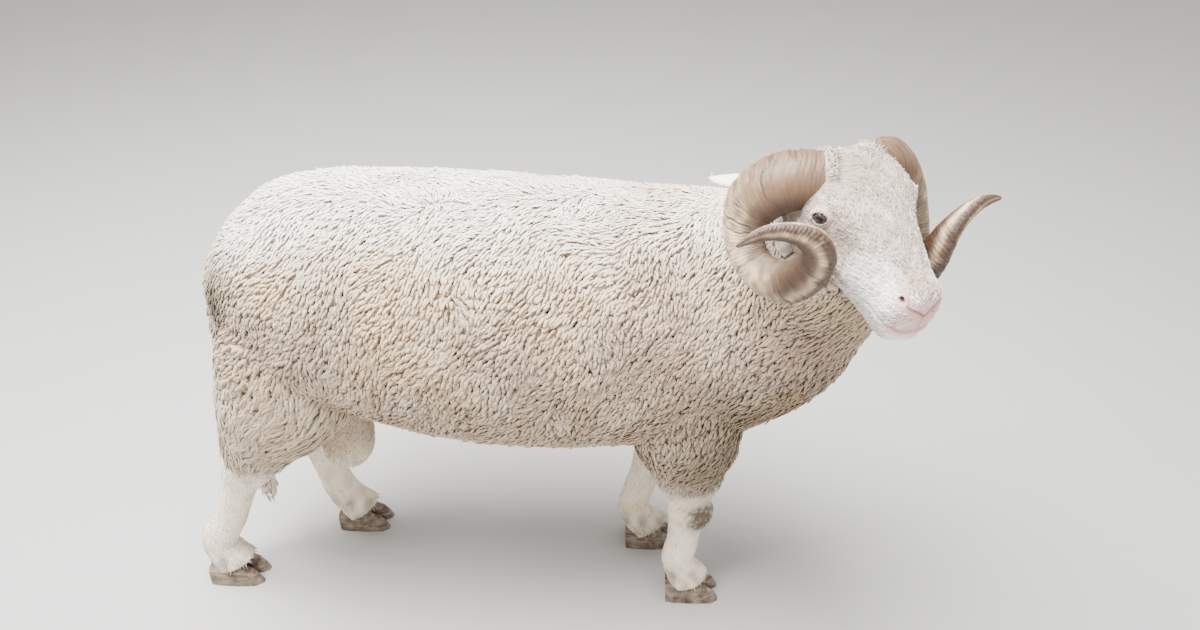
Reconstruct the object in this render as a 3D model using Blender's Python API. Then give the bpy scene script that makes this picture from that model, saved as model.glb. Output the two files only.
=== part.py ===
"""A standing white faced hill ram at life size: barrel and neck in a close fleece of rounded
clumps, bare white face and lower legs, two ridged horns that each turn once and a third."""

from math import cos, pi, radians, sin

import bmesh
import bpy
import numpy as np
from mathutils import Matrix, Vector
from mathutils.bvhtree import BVHTree

# The model stands along +X, with its left side at +Y. Sizes are metres.
GAP = 0.0003            # between nodes that meet
CENTRE = (0.0482, -0.0636)   # middle of the finished model in plan, in the frame of the keys

# Fleece: the cores lie under the tips of the clumps by CLUMP_RISE.
CLUMP_RISE = 0.019
CLUMP_SINK = 0.010
CLUMP_PITCH = 0.087     # least spacing on the barrel
CLUMP_SEED = 7

# Trunk core: x, y, z of the centre line, half width, half height up, half height down
TRUNK = (
    (-0.446, 0.000, 0.578, 0.050, 0.050, 0.060),
    (-0.430, 0.000, 0.580, 0.094, 0.090, 0.105),
    (-0.392, 0.000, 0.584, 0.138, 0.128, 0.142),
    (-0.332, 0.000, 0.586, 0.172, 0.155, 0.155),
    (-0.250, 0.000, 0.580, 0.192, 0.172, 0.158),
    (-0.120, 0.000, 0.570, 0.206, 0.180, 0.188),
    (0.020, 0.000, 0.562, 0.210, 0.180, 0.205),
    (0.130, 0.000, 0.560, 0.202, 0.178, 0.200),
    (0.230, -0.003, 0.570, 0.184, 0.168, 0.202),
    (0.315, -0.015, 0.594, 0.162, 0.150, 0.204),
    (0.380, -0.038, 0.632, 0.138, 0.130, 0.186),
    (0.425, -0.070, 0.682, 0.115, 0.113, 0.148),
    (0.452, -0.105, 0.730, 0.097, 0.100, 0.122),
    (0.462, -0.133, 0.775, 0.084, 0.088, 0.098),
    (0.460, -0.158, 0.822, 0.068, 0.070, 0.078),
)
TRUNK_SIDES = 14
TRUNK_STEPS = 18
TRUNK_POWER = 2.3

# Legs: x, y, z, half width, half depth forward, half depth back
FORE_RIGHT = (
    (0.285, -0.110, 0.520, 0.060, 0.080, 0.090),
    (0.290, -0.100, 0.420, 0.062, 0.078, 0.078),
    (0.298, -0.082, 0.340, 0.050, 0.062, 0.060),
    (0.303, -0.070, 0.260, 0.040, 0.046, 0.046),
    (0.306, -0.066, 0.222, 0.033, 0.038, 0.036),
    (0.307, -0.064, 0.195, 0.034, 0.041, 0.036),
    (0.303, -0.064, 0.165, 0.029, 0.033, 0.033),
    (0.300, -0.064, 0.120, 0.027, 0.031, 0.033),
    (0.295, -0.064, 0.085, 0.030, 0.034, 0.039),
    (0.302, -0.064, 0.060, 0.031, 0.036, 0.037),
    (0.312, -0.064, 0.036, 0.033, 0.041, 0.036),
)
FORE_LEFT = (
    (0.285, 0.110, 0.520, 0.060, 0.080, 0.090),
    (0.285, 0.100, 0.420, 0.062, 0.078, 0.078),
    (0.278, 0.084, 0.340, 0.050, 0.062, 0.060),
    (0.262, 0.073, 0.265, 0.040, 0.046, 0.046),
    (0.250, 0.069, 0.228, 0.033, 0.038, 0.036),
    (0.243, 0.067, 0.200, 0.034, 0.041, 0.036),
    (0.232, 0.066, 0.168, 0.029, 0.033, 0.033),
    (0.218, 0.066, 0.120, 0.027, 0.031, 0.033),
    (0.212, 0.066, 0.085, 0.030, 0.034, 0.038),
    (0.222, 0.066, 0.060, 0.031, 0.036, 0.036),
    (0.236, 0.066, 0.036, 0.033, 0.041, 0.036),
)
HIND_RIGHT = (
    (-0.335, -0.105, 0.560, 0.070, 0.110, 0.080),
    (-0.350, -0.108, 0.450, 0.070, 0.115, 0.088),
    (-0.375, -0.100, 0.375, 0.062, 0.098, 0.080),
    (-0.412, -0.086, 0.310, 0.048, 0.066, 0.056),
    (-0.448, -0.074, 0.268, 0.034, 0.040, 0.038),
    (-0.466, -0.069, 0.242, 0.031, 0.034, 0.036),
    (-0.482, -0.068, 0.205, 0.028, 0.031, 0.034),
    (-0.510, -0.070, 0.140, 0.027, 0.031, 0.033),
    (-0.536, -0.072, 0.090, 0.030, 0.034, 0.038),
    (-0.532, -0.072, 0.062, 0.031, 0.036, 0.036),
    (-0.522, -0.072, 0.036, 0.033, 0.041, 0.036),
)
HIND_LEFT = (
    (-0.320, 0.105, 0.560, 0.070, 0.110, 0.090),
    (-0.325, 0.110, 0.450, 0.070, 0.112, 0.096),
    (-0.335, 0.105, 0.375, 0.062, 0.092, 0.084),
    (-0.358, 0.092, 0.310, 0.048, 0.062, 0.060),
    (-0.380, 0.083, 0.270, 0.034, 0.038, 0.038),
    (-0.388, 0.080, 0.244, 0.031, 0.033, 0.036),
    (-0.388, 0.080, 0.205, 0.028, 0.031, 0.033),
    (-0.375, 0.081, 0.140, 0.027, 0.031, 0.033),
    (-0.358, 0.081, 0.088, 0.030, 0.034, 0.038),
    (-0.342, 0.081, 0.060, 0.031, 0.036, 0.036),
    (-0.326, 0.081, 0.036, 0.033, 0.041, 0.036),
)
LEG_SIDES = 10
LEG_STEPS = 13


# Head frame: yaw to the right of the body, nose down, tilt, and the mid point between the eyes
HEAD_YAW = radians(59)
HEAD_PITCH = radians(40)
HEAD_TILT = radians(1)
EYE_MIDDLE = Vector((0.4749, -0.2256, 0.8346))
EYE_AT = 0.085          # from the poll to the eyes along the head
EYE_OUT = 0.0625        # from the middle of the head
EYE_UP = 0.024
EYE_RADIUS = 0.0145

# Head: distance from the poll, half width, profile above and below the axis
HEAD = (
    (0.000, 0.040, 0.004, 0.050),
    (0.010, 0.056, 0.030, 0.070),
    (0.030, 0.066, 0.052, 0.086),
    (0.060, 0.073, 0.058, 0.090),
    (0.085, 0.076, 0.060, 0.086),
    (0.110, 0.068, 0.060, 0.078),
    (0.140, 0.058, 0.059, 0.067),
    (0.170, 0.050, 0.056, 0.055),
    (0.200, 0.043, 0.053, 0.047),
    (0.220, 0.038, 0.048, 0.043),
    (0.234, 0.031, 0.032, 0.038),
    (0.242, 0.022, 0.012, 0.028),
    (0.246, 0.010, 0.002, 0.014),
)
HEAD_SIDES = 20
HEAD_STEPS = 22
MOUTH_UP = -0.002       # of the mouth line at the front

# Horns: along the head, out, up, half width across the coil
HORN_RIGHT = (
    (0.048, 0.030, 0.024, 0.033),
    (0.029, 0.078, 0.004, 0.034),
    (0.027, 0.100, -0.037, 0.034),
    (0.045, 0.110, -0.063, 0.030),
    (0.069, 0.112, -0.077, 0.0275),
    (0.094, 0.108, -0.079, 0.0265),
    (0.117, 0.103, -0.067, 0.0265),
    (0.134, 0.099, -0.038, 0.025),
    (0.139, 0.098, -0.001, 0.023),
    (0.135, 0.100, 0.030, 0.021),
    (0.126, 0.107, 0.047, 0.019),
    (0.116, 0.118, 0.054, 0.017),
    (0.105, 0.137, 0.055, 0.0135),
    (0.098, 0.160, 0.052, 0.0105),
    (0.097, 0.180, 0.046, 0.007),
    (0.099, 0.196, 0.038, 0.003),
)
HORN_LEFT = (
    (0.046, 0.030, 0.020, 0.033),
    (0.034, 0.084, 0.002, 0.033),
    (0.054, 0.109, -0.026, 0.033),
    (0.078, 0.121, -0.049, 0.030),
    (0.106, 0.125, -0.067, 0.028),
    (0.127, 0.123, -0.079, 0.027),
    (0.146, 0.118, -0.084, 0.027),
    (0.157, 0.114, -0.074, 0.026),
    (0.159, 0.112, -0.056, 0.024),
    (0.154, 0.114, -0.036, 0.022),
    (0.147, 0.116, -0.018, 0.020),
    (0.137, 0.124, -0.001, 0.0175),
    (0.127, 0.141, 0.013, 0.014),
    (0.120, 0.163, 0.021, 0.011),
    (0.119, 0.183, 0.024, 0.007),
    (0.121, 0.198, 0.025, 0.003),
)
HORN_SIDES = 10
HORN_STEPS = 30
HORN_FLATNESS = 0.84    # thickness along the coil's axis over the width across it

# Ears: root on the head, along, out and up, the way they point, length and half width
EAR_ROOT = (0.004, 0.050, -0.050)
EAR_WAY = (-0.535, 0.667, -0.524)
EAR_FACE = (0.60, 0.10, -0.80)   # where its cup opens
EAR_LENGTH = 0.086
EAR_HALF = 0.020
EAR_THICK = 0.0045

# Tail core: x, y, z, half width, half depth forward, half depth back
TAIL = (
    (-0.420, 0.000, 0.664, 0.034, 0.022, 0.026),
    (-0.446, 0.003, 0.620, 0.034, 0.020, 0.022),
    (-0.458, 0.006, 0.540, 0.033, 0.018, 0.020),
    (-0.462, 0.010, 0.430, 0.031, 0.017, 0.018),
    (-0.466, 0.014, 0.300, 0.027, 0.015, 0.017),
    (-0.470, 0.018, 0.200, 0.022, 0.013, 0.015),
    (-0.472, 0.020, 0.140, 0.014, 0.010, 0.011),
)
TAIL_ROOT_X = -0.442    # seam with the rump

# Scrotum: x, y, z, half width, half depth forward, half depth back
SCROTUM = (
    (-0.286, -0.012, 0.404, 0.030, 0.030, 0.030),
    (-0.287, -0.013, 0.380, 0.034, 0.033, 0.033),
    (-0.289, -0.014, 0.345, 0.044, 0.040, 0.040),
    (-0.290, -0.015, 0.300, 0.054, 0.046, 0.046),
    (-0.290, -0.015, 0.265, 0.052, 0.043, 0.043),
    (-0.290, -0.015, 0.243, 0.036, 0.030, 0.030),
    (-0.290, -0.015, 0.236, 0.018, 0.015, 0.015),
)

# Hooves: two claws to a foot, lengths from the middle of the foot
HOOF_TOP = 0.0360
CLAW_HALF = 0.0150
CLAW_APART = 0.0172     # from the middle of the foot to the middle of a claw
CLAW_TOE = 0.046
CLAW_HEEL = 0.040

# Seams between the nodes
FORE_SEAM = 0.345
HIND_SEAM = 0.405
NECK_SEAM = (Vector((0.345, -0.025, 0.640)), Vector((0.78, -0.22, 0.55)).normalized())
FORE_WOOL = 0.225       # lowest height of the clumps on the legs
HIND_WOOL = 0.275

def catmull(keys, steps):
    """Rows of keys at steps + 1 even stations of a smooth curve through them."""
    keys = np.asarray(keys, float)
    padded = np.vstack([2 * keys[0] - keys[1], keys, 2 * keys[-1] - keys[-2]])
    places = np.linspace(0, len(keys) - 1, steps + 1)
    index = np.minimum(places.astype(int), len(keys) - 2)
    t = (places - index)[:, None]
    before, start, end, after = (padded[index + k] for k in range(4))
    return 0.5 * (
        2 * start
        + (end - before) * t
        + (2 * before - 5 * start + 4 * end - after) * t ** 2
        + (3 * start - before - 3 * end + after) * t ** 3
    )


def link(obj):
    bpy.context.scene.collection.objects.link(obj)
    return obj


def mesh_object(name, points, faces):
    mesh = bpy.data.meshes.new(name)
    mesh.from_pydata([tuple(p) for p in points], [], faces)
    mesh.validate()
    built = bmesh.new()
    built.from_mesh(mesh)
    bmesh.ops.recalc_face_normals(built, faces=built.faces)
    # flat faces only, so that a cut leaves the rest of the surface where it was
    bmesh.ops.triangulate(built, faces=built.faces)
    built.to_mesh(mesh)
    built.free()
    return link(bpy.data.objects.new(name, mesh))


def section(middle, side, up, half_side, rise, fall, power, count):
    """A closed ring: a superellipse with its own height above and below the middle."""
    ring = []
    for k in range(count):
        angle = 2 * pi * k / count
        across = np.sign(cos(angle)) * abs(cos(angle)) ** (2 / power)
        along = np.sign(sin(angle)) * abs(sin(angle)) ** (2 / power)
        height = rise if along > 0 else fall
        ring.append(middle + side * across * half_side + up * along * height)
    return ring


def loft(name, rings):
    """A closed skin over rings of equal count, with a flat face at each end."""
    count = len(rings[0])
    points = [p for ring in rings for p in ring]
    faces = []
    for row in range(len(rings) - 1):
        for k in range(count):
            a, b = row * count + k, row * count + (k + 1) % count
            faces.append((a, b, b + count, a + count))
    faces.append(tuple(range(count)))
    faces.append(tuple(range(len(points) - count, len(points))))
    return mesh_object(name, points, faces)


def body_loft(name, keys, sides, steps, power, upright):
    """A limb or the trunk: sections square to its centre line. upright limbs keep Y as their side."""
    rows = catmull(keys, steps)
    path = [Vector(row[:3]) for row in rows]
    rings = []
    for i, row in enumerate(rows):
        along = (path[min(i + 1, steps)] - path[max(i - 1, 0)]).normalized()
        side = Vector((0, 1, 0)) if upright else Vector((0, 0, 1)).cross(along)
        side = (side - along * side.dot(along)).normalized()
        up = along.cross(side)
        rings.append(section(path[i], side, up, row[3], row[4], row[5], power, sides))
    return loft(name, rings)




def head_frame():
    """The head's axes, to the nose, to its left and up through the forehead, and the poll."""
    nose = Vector((cos(HEAD_PITCH) * cos(HEAD_YAW), -cos(HEAD_PITCH) * sin(HEAD_YAW), -sin(HEAD_PITCH)))
    left = Vector((sin(HEAD_YAW), cos(HEAD_YAW), 0))
    left = Matrix.Rotation(HEAD_TILT, 3, nose) @ left
    up = nose.cross(left)
    return nose, left, up, EYE_MIDDLE - nose * EYE_AT


def head_point(along, across, height):
    nose, left, up, poll = head_frame()
    return poll + nose * along + left * across + up * height


def head_shell(name, inset=0.0):
    nose, left, up, poll = head_frame()
    rings = []
    for along, width, rise, fall in catmull(HEAD, HEAD_STEPS):
        middle = (rise - fall) / 2
        half = (rise + fall) / 2 - inset
        ring = []
        for k in range(HEAD_SIDES):
            angle = 2 * pi * k / HEAD_SIDES
            across = np.sign(cos(angle)) * abs(cos(angle)) ** 0.92
            height = np.sign(sin(angle)) * abs(sin(angle)) ** 0.88
            # the jaw is narrower than the brow and the bridge of the nose
            taper = 1.0 - 0.22 * max(0.0, -height) - 0.10 * max(0.0, height)
            ring.append(poll + nose * along + left * across * (width - inset) * taper
                        + up * (middle + height * half))
        rings.append(ring)
    return loft(name, rings)


def horn(name, keys, hand, grow=0.0, reach=HORN_STEPS):
    """hand is 1 on the left and -1 on the right; grow is added to its half width, and reach
    is how many of its steps are made."""
    nose, left, up, poll = head_frame()
    rows = catmull(keys, HORN_STEPS)
    path = [poll + nose * row[0] + left * row[1] * hand + up * row[2] for row in rows]
    hub = sum(path[5:23], Vector()) / 18
    path[0] += (path[0] - path[1]).normalized() * grow * 1.5
    rings = []
    for i, row in enumerate(rows):
        tangent = (path[min(i + 1, HORN_STEPS)] - path[max(i - 1, 0)]).normalized()
        outward = path[i] - hub
        outward = (outward - tangent * outward.dot(tangent)).normalized()
        half = max(row[3], 0.003)
        # growth rings show as shallow steps
        half += half * (0.018 if i % 2 else -0.010)
        side = tangent.cross(outward)
        ring = []
        for k in range(HORN_SIDES):
            angle = 2 * pi * k / HORN_SIDES
            across, deep = cos(angle), sin(angle)
            keel = 1.0 + 0.10 * max(0.0, across)
            ring.append(path[i] + outward * across * (half * keel + grow) + side * deep * (half * HORN_FLATNESS + grow))
        rings.append(ring)
    return loft(name, rings[:reach + 1])


def boolean(target, tool, operation, solver="MANIFOLD"):
    """tool is an object or a collection; it is applied and the tool removed."""
    modifier = target.modifiers.new("cut", "BOOLEAN")
    modifier.operation = operation
    modifier.solver = solver
    if isinstance(tool, bpy.types.Collection):
        modifier.operand_type = "COLLECTION"
        modifier.collection = tool
    else:
        modifier.object = tool
    bpy.context.view_layer.update()
    shape = bpy.data.meshes.new_from_object(target.evaluated_get(bpy.context.evaluated_depsgraph_get()))
    target.modifiers.clear()
    target.data = shape
    tools = list(tool.objects) if isinstance(tool, bpy.types.Collection) else [tool]
    for item in tools:
        bpy.data.objects.remove(item)
    if isinstance(tool, bpy.types.Collection):
        bpy.data.collections.remove(tool)
    return target


def copy_of(obj, name):
    twin = obj.copy()
    twin.data = obj.data.copy()
    twin.name = name
    return link(twin)


def half_space(name, point, normal, size=3.0):
    """A block that fills the side of a plane that normal points to."""
    normal = Vector(normal).normalized()
    turn = normal.to_track_quat("Z", "Y").to_matrix().to_4x4()
    bpy.ops.mesh.primitive_cube_add(size=1)
    block = bpy.context.object
    block.name = name
    block.data.transform(Matrix.Translation((0, 0, 0.5)))
    block.data.transform(Matrix.Diagonal((size, size, size, 1)))
    block.data.transform(Matrix.Translation(point) @ turn)
    return block


def box(name, low, high):
    bpy.ops.mesh.primitive_cube_add(size=1)
    block = bpy.context.object
    block.name = name
    low, high = Vector(low), Vector(high)
    block.data.transform(Matrix.Translation((low + high) / 2) @ Matrix.Diagonal((*(high - low), 1)))
    return block


def cut_off(obj, point, normal):
    """Remove what lies past the plane, on the side normal points to."""
    return boolean(obj, half_space("cutter", point, normal), "DIFFERENCE")


def largest_only(obj):
    """Keep the largest closed surface, and close up specks at the seams."""
    for reach in (2e-5, 6e-6, 2e-6, 0.0):
        built = bmesh.new()
        built.from_mesh(obj.data)
        if reach:
            bmesh.ops.remove_doubles(built, verts=built.verts, dist=reach)
            bmesh.ops.dissolve_degenerate(built, edges=built.edges, dist=reach)
        keep_largest(built)
        bmesh.ops.triangulate(built, faces=built.faces)
        part_diagonals(built)
        if all(len(edge.link_faces) == 2 for edge in built.edges):
            built.to_mesh(obj.data)
            built.free()
            return obj
        built.free()
    print("left as it was", obj.name)
    return obj


def part_diagonals(built):
    """Where two flat faces were split along one and the same diagonal, turn one of the two."""
    for _ in range(3):
        for edge in [e for e in built.edges if len(e.link_faces) == 4]:
            if edge.is_valid and len(edge.link_faces) == 4:
                turn_diagonal(built, edge)


def turn_diagonal(built, edge):
    start, end = edge.verts
    faces = list(edge.link_faces)
    for one in faces:
        for two in faces:
            if one is two or one.normal.dot(two.normal) < 0.99999:
                continue
            tip = next(v for v in one.verts if v not in (start, end))
            heel = next(v for v in two.verts if v not in (start, end))
            if tip is heel or built.edges.get((tip, heel)) is not None:
                continue
            normal = one.normal.copy()
            fresh = []
            for corner in (start, end):
                order = [corner, tip, heel]
                area = (tip.co - corner.co).cross(heel.co - corner.co).dot(normal)
                if area < 0:
                    order.reverse()
                fresh.append((order, area))
            if fresh[0][1] * fresh[1][1] >= 0:
                continue
            bmesh.ops.delete(built, geom=[one, two], context="FACES_ONLY")
            for order, _ in fresh:
                built.faces.new(order)
            built.normal_update()
            return


def keep_largest(built):
    left = set(built.faces)
    groups = []
    while left:
        seed = left.pop()
        group, front = {seed}, [seed]
        while front:
            face = front.pop()
            for edge in face.edges:
                for other in edge.link_faces:
                    if other in left:
                        left.discard(other)
                        group.add(other)
                        front.append(other)
        groups.append(group)
    groups.sort(key=lambda g: sum(f.calc_area() for f in g), reverse=True)
    for group in groups[1:]:
        bmesh.ops.delete(built, geom=list(group), context="FACES")


def surface_samples(obj, count, seed):
    """Even random places on a mesh, with their normals."""
    rng = np.random.default_rng(seed)
    mesh = obj.data
    mesh.calc_loop_triangles()
    corners = np.array([[mesh.vertices[i].co for i in t.vertices] for t in mesh.loop_triangles])
    cross = np.cross(corners[:, 1] - corners[:, 0], corners[:, 2] - corners[:, 0])
    area = np.linalg.norm(cross, axis=1)
    pick = rng.choice(len(area), size=count, p=area / area.sum())
    u, v = rng.random(count), rng.random(count)
    flip = u + v > 1
    u[flip], v[flip] = 1 - u[flip], 1 - v[flip]
    a, b, c = corners[pick, 0], corners[pick, 1], corners[pick, 2]
    points = a + (b - a) * u[:, None] + (c - a) * v[:, None]
    return points, cross[pick] / area[pick, None]


def pitch_at(x, y, z):
    """Spacing of the clumps: wide on the barrel, close on the neck, legs and tail."""
    neck = min(1.0, max(0.0, (x - 0.30) / 0.12))
    leg = min(1.0, max(0.0, (0.42 - z) / 0.12))
    tail = 1.0 if x < -0.455 and abs(y) < 0.07 else 0.0
    return CLUMP_PITCH * (1.0 - 0.28 * max(neck, leg, tail))


def clump(name, place, normal, pitch, rng):
    """A low dome of the fleece, its root sunk in the core."""
    bpy.ops.mesh.primitive_uv_sphere_add(segments=6, ring_count=4, radius=1)
    dome = bpy.context.object
    dome.name = name
    turn = Vector(normal).to_track_quat("Z", "Y").to_matrix().to_4x4()
    spin = Matrix.Rotation(rng.uniform(0, 2 * pi), 4, "Z")
    wide = pitch * rng.uniform(0.80, 0.86)
    tall = CLUMP_RISE + CLUMP_SINK
    tall *= rng.uniform(0.94, 1.04) * (0.72 + 0.28 * pitch / CLUMP_PITCH)
    centre = Vector(place) - Vector(normal) * CLUMP_SINK
    shape = Matrix.Diagonal((wide, wide * rng.uniform(0.90, 1.0), tall, 1))
    dome.data.transform(Matrix.Translation(centre) @ turn @ spin @ shape)
    return dome


def claw(name, x, y, side):
    """One half of a cloven hoof with a flat sole; side is 1 or -1 from the middle of the foot."""
    middle = y + side * CLAW_APART
    profile = ((-CLAW_HEEL, 0.86), (-0.024, 1.0), (0.010, 1.0), (0.034, 0.80), (CLAW_TOE - 0.004, 0.42), (CLAW_TOE, 0.24))
    rings = []
    for reach, part in profile:
        half = CLAW_HALF * part
        inner = CLAW_HALF * min(1.0, part + 0.10)
        lift = HOOF_TOP - max(0.0, reach - 0.006) * 0.42
        ring = []
        for across, height in ((-1, 0.0), (1, 0.0), (1, 0.45), (0.86, 0.86), (0.42, 1.0), (-0.42, 1.0), (-0.86, 0.86), (-1, 0.45)):
            width = inner if across * side < 0 else half
            lean = (1 - height) * 0.010 if reach > 0.02 else (1 - height) * 0.002
            ring.append(Vector((x + reach + lean, middle + across * width * (1 - 0.06 * height),
                                height * lift)))
        rings.append(ring)
    return loft(name, rings)


def ear(name, hand):
    """A cupped leaf: two skins a little apart, closed round the rim."""
    nose, left, up, poll = head_frame()
    root = head_point(EAR_ROOT[0], EAR_ROOT[1] * hand, EAR_ROOT[2])
    way = (nose * EAR_WAY[0] + left * EAR_WAY[1] * hand + up * EAR_WAY[2]).normalized()
    face = nose * EAR_FACE[0] + left * EAR_FACE[1] * hand + up * EAR_FACE[2]
    face = (face - way * face.dot(way)).normalized()
    side = way.cross(face)
    stations = ((0.0, 0.52, 1.25), (0.16, 0.66, 1.05), (0.36, 0.95, 0.80), (0.58, 1.0, 0.62), (0.78, 0.80, 0.45), (0.92, 0.48, 0.30), (1.0, 0.16, 0.10))
    rings = []
    for part, width, cup in stations:
        ring = []
        for skin in (1, -1):
            for k in range(7):
                angle = (-1 + 2 * k / 6) * skin * 1.25
                reach = EAR_HALF * width
                thick = EAR_THICK / 2 * (0.5 if abs(angle) > 1.2 else 1.0)
                depth = -reach * cup * cos(angle) + skin * thick
                ring.append(root + way * EAR_LENGTH * part + side * reach * sin(angle) + face * (depth + reach * cup * 0.5))
        rings.append(ring)
    return loft(name, rings)


def clear_scene():
    for item in list(bpy.data.objects):
        bpy.data.objects.remove(item)


def fleeced(name, cores, woolly, count, seed):
    """The cores and the clumps on them as one body. woolly tells where clumps may grow."""
    rng = np.random.default_rng(seed)
    trees = []
    for core in cores:
        built = bmesh.new()
        built.from_mesh(core.data)
        bmesh.ops.triangulate(built, faces=built.faces)
        trees.append(BVHTree.FromBMesh(built))
        built.free()
    places = []
    for index, core in enumerate(cores):
        points, normals = surface_samples(core, count, seed + index)
        for point, normal in zip(points, normals):
            if not woolly(index, *point) or buried(point, trees, index):
                continue
            pitch = pitch_at(*point)
            if all((point - other[0]) @ (point - other[0]) > (0.5 * (pitch + other[2])) ** 2 for other in places):
                places.append((point, normal, pitch))
    print(name, "clumps", len(places))
    group = bpy.data.collections.new("clumps")
    bpy.context.scene.collection.children.link(group)
    for point, normal, pitch in places:
        move_to(group, clump("clump", point, normal, pitch, rng))
    for extra in cores[1:]:
        move_to(group, extra)
    cores[0].name = name
    return boolean(cores[0], group, "UNION")


def move_to(group, obj):
    for owner in list(obj.users_collection):
        owner.objects.unlink(obj)
    group.objects.link(obj)


def body_wool(index, x, y, z):
    """Where clumps grow on the trunk, at index 0, and on the legs, fore then hind."""
    if index == 0:
        end = TRUNK[-1]
        return not (x > 0.40 and (x - end[0]) * 0.1 + (y - end[1]) * -0.5 + (z - end[2]) * 0.86 > -0.045)
    return z > (FORE_WOOL if index < 3 else HIND_WOOL) + 0.026


def tail_wool(index, x, y, z):
    return z < 0.655


def buried(point, trees, own):
    """Whether a place on one core lies well inside another."""
    for index, tree in enumerate(trees):
        if index == own:
            continue
        near, normal, _, distance = tree.find_nearest(Vector(point))
        if (Vector(point) - near).dot(normal) < 0 and distance > 0.006:
            return True
    return False


def head_node():
    """The head with its brows, lids, mouth line, lips and nostrils."""
    nose, left, up, poll = head_frame()
    head = head_shell("head")
    parts = bpy.data.collections.new("parts")
    bpy.context.scene.collection.children.link(parts)
    for hand in (1, -1):
        centre = head_point(EYE_AT, EYE_OUT * hand, EYE_UP)
        # orbit: a low mound with the lids as a flattened ring round the eye
        bpy.ops.mesh.primitive_uv_sphere_add(segments=12, ring_count=7, radius=1)
        mound = bpy.context.object
        axes = Matrix((nose, left, up)).transposed().to_4x4()
        mound.data.transform(Matrix.Translation(head_point(EYE_AT - 0.002, (EYE_OUT - 0.010) * hand, EYE_UP + 0.004))
                             @ axes @ Matrix.Diagonal((0.027, 0.015, 0.021, 1)))
        move_to(parts, mound)
        bpy.ops.mesh.primitive_torus_add(major_radius=0.0125, minor_radius=0.0034, major_segments=14, minor_segments=5)
        lid = bpy.context.object
        out = left * hand
        facing = (out * 0.84 + nose * 0.30 + up * 0.42).normalized()
        turn = facing.to_track_quat("Z", "Y").to_matrix().to_4x4()
        lid.data.transform(Matrix.Translation(centre + facing * 0.0072) @ turn)
        move_to(parts, lid)
        # nostril wing
        bpy.ops.mesh.primitive_uv_sphere_add(segments=8, ring_count=6, radius=1)
        wing = bpy.context.object
        wing.data.transform(Matrix.Translation(head_point(0.212, 0.021 * hand, 0.036))
                            @ axes @ Matrix.Diagonal((0.017, 0.012, 0.014, 1)))
        move_to(parts, wing)
    # upper and lower lip
    for along, height, half in ((0.2335, 0.006, 0.0135), (0.2290, -0.0135, 0.0120)):
        bpy.ops.mesh.primitive_uv_sphere_add(segments=10, ring_count=6, radius=1)
        lip = bpy.context.object
        axes = Matrix((nose, left, up)).transposed().to_4x4()
        lip.data.transform(Matrix.Translation(head_point(along, 0, height))
                           @ axes @ Matrix.Diagonal((half, 0.027, 0.0095, 1)))
        move_to(parts, lip)
    boolean(head, parts, "UNION")
    cuts = bpy.data.collections.new("cuts")
    bpy.context.scene.collection.children.link(cuts)

    # mouth line: a thin slab round the muzzle, less the muzzle's inside
    slab_rings = []
    for along, drop in ((0.178, 0.012), (0.215, 0.005), (0.262, 0.0)):
        centre = head_point(along, 0, MOUTH_UP - drop)
        slab_rings.append([centre + left * a + up * b for a, b in ((-0.07, -0.0011), (0.07, -0.0011), (0.07, 0.0011), (-0.07, 0.0011))])
    slab = loft("slab", slab_rings)
    inner = head_shell("inner", 0.0075)
    move_to(cuts, boolean(slab, inner, "DIFFERENCE"))
    for hand in (1, -1):
        # nostril: a comma from the outer corner down and in to the philtrum
        path = ((0.206, 0.0300, 0.0480, 0.0030), (0.214, 0.0270, 0.0400, 0.0036),
                (0.225, 0.0180, 0.0290, 0.0026), (0.236, 0.0065, 0.0215, 0.0012))
        spots = [head_point(along, out * hand, height) for along, out, height, _ in path]
        depth = (nose * 0.55 + left * hand * 0.80 + up * 0.25).normalized()
        tangent = (spots[3] - spots[0]).normalized()
        depth = (depth - tangent * depth.dot(tangent)).normalized()
        across = tangent.cross(depth)
        move_to(cuts, loft("nostril", [[spot + depth * 0.009 * cos(pi * k / 3) + across * row[3] * sin(pi * k / 3)
                                        for k in range(6)] for spot, row in zip(spots, path)]))
        socket_at = head_point(EYE_AT, EYE_OUT * hand, EYE_UP)
        bpy.ops.mesh.primitive_uv_sphere_add(segments=14, ring_count=8, radius=EYE_RADIUS + GAP)
        socket = bpy.context.object
        socket.data.transform(Matrix.Translation(socket_at))
        move_to(cuts, socket)
        move_to(cuts, horn("socket", HORN_LEFT if hand == 1 else HORN_RIGHT, hand, GAP * 2))
        move_to(cuts, ear_socket(hand))
    boolean(head, cuts, "DIFFERENCE")
    return head


def ear_socket(hand, grow=GAP * 1.6):
    """The ear, a little larger, to be cut from the head and the wool beside it."""
    twin = ear("socket", hand)
    middle = sum((v.co for v in twin.data.vertices), Vector()) / len(twin.data.vertices)
    built = bmesh.new()
    built.from_mesh(twin.data)
    built.normal_update()
    for vertex in built.verts:
        vertex.co += vertex.normal * grow
    built.to_mesh(twin.data)
    built.free()
    return twin


def scrotum(name, grow=0.0):
    rows = catmull(SCROTUM, 10)
    return loft(name, [section(Vector(row[:3]), Vector((0, 1, 0)), Vector((1, 0, 0)), row[3] + grow,
                               row[4] + grow, row[5] + grow, 2.1, 12) for row in rows])


def feet():
    """The eight claws, each under its leg."""
    for name, keys in LEGS:
        x, y = keys[-1][0], keys[-1][1]
        for side, word in ((-1, "right"), (1, "left")):
            claw("%s_%s" % (name.replace("leg", "hoof"), "outer" if word == name.split("_")[-1] else "inner"), x, y, side)


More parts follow.
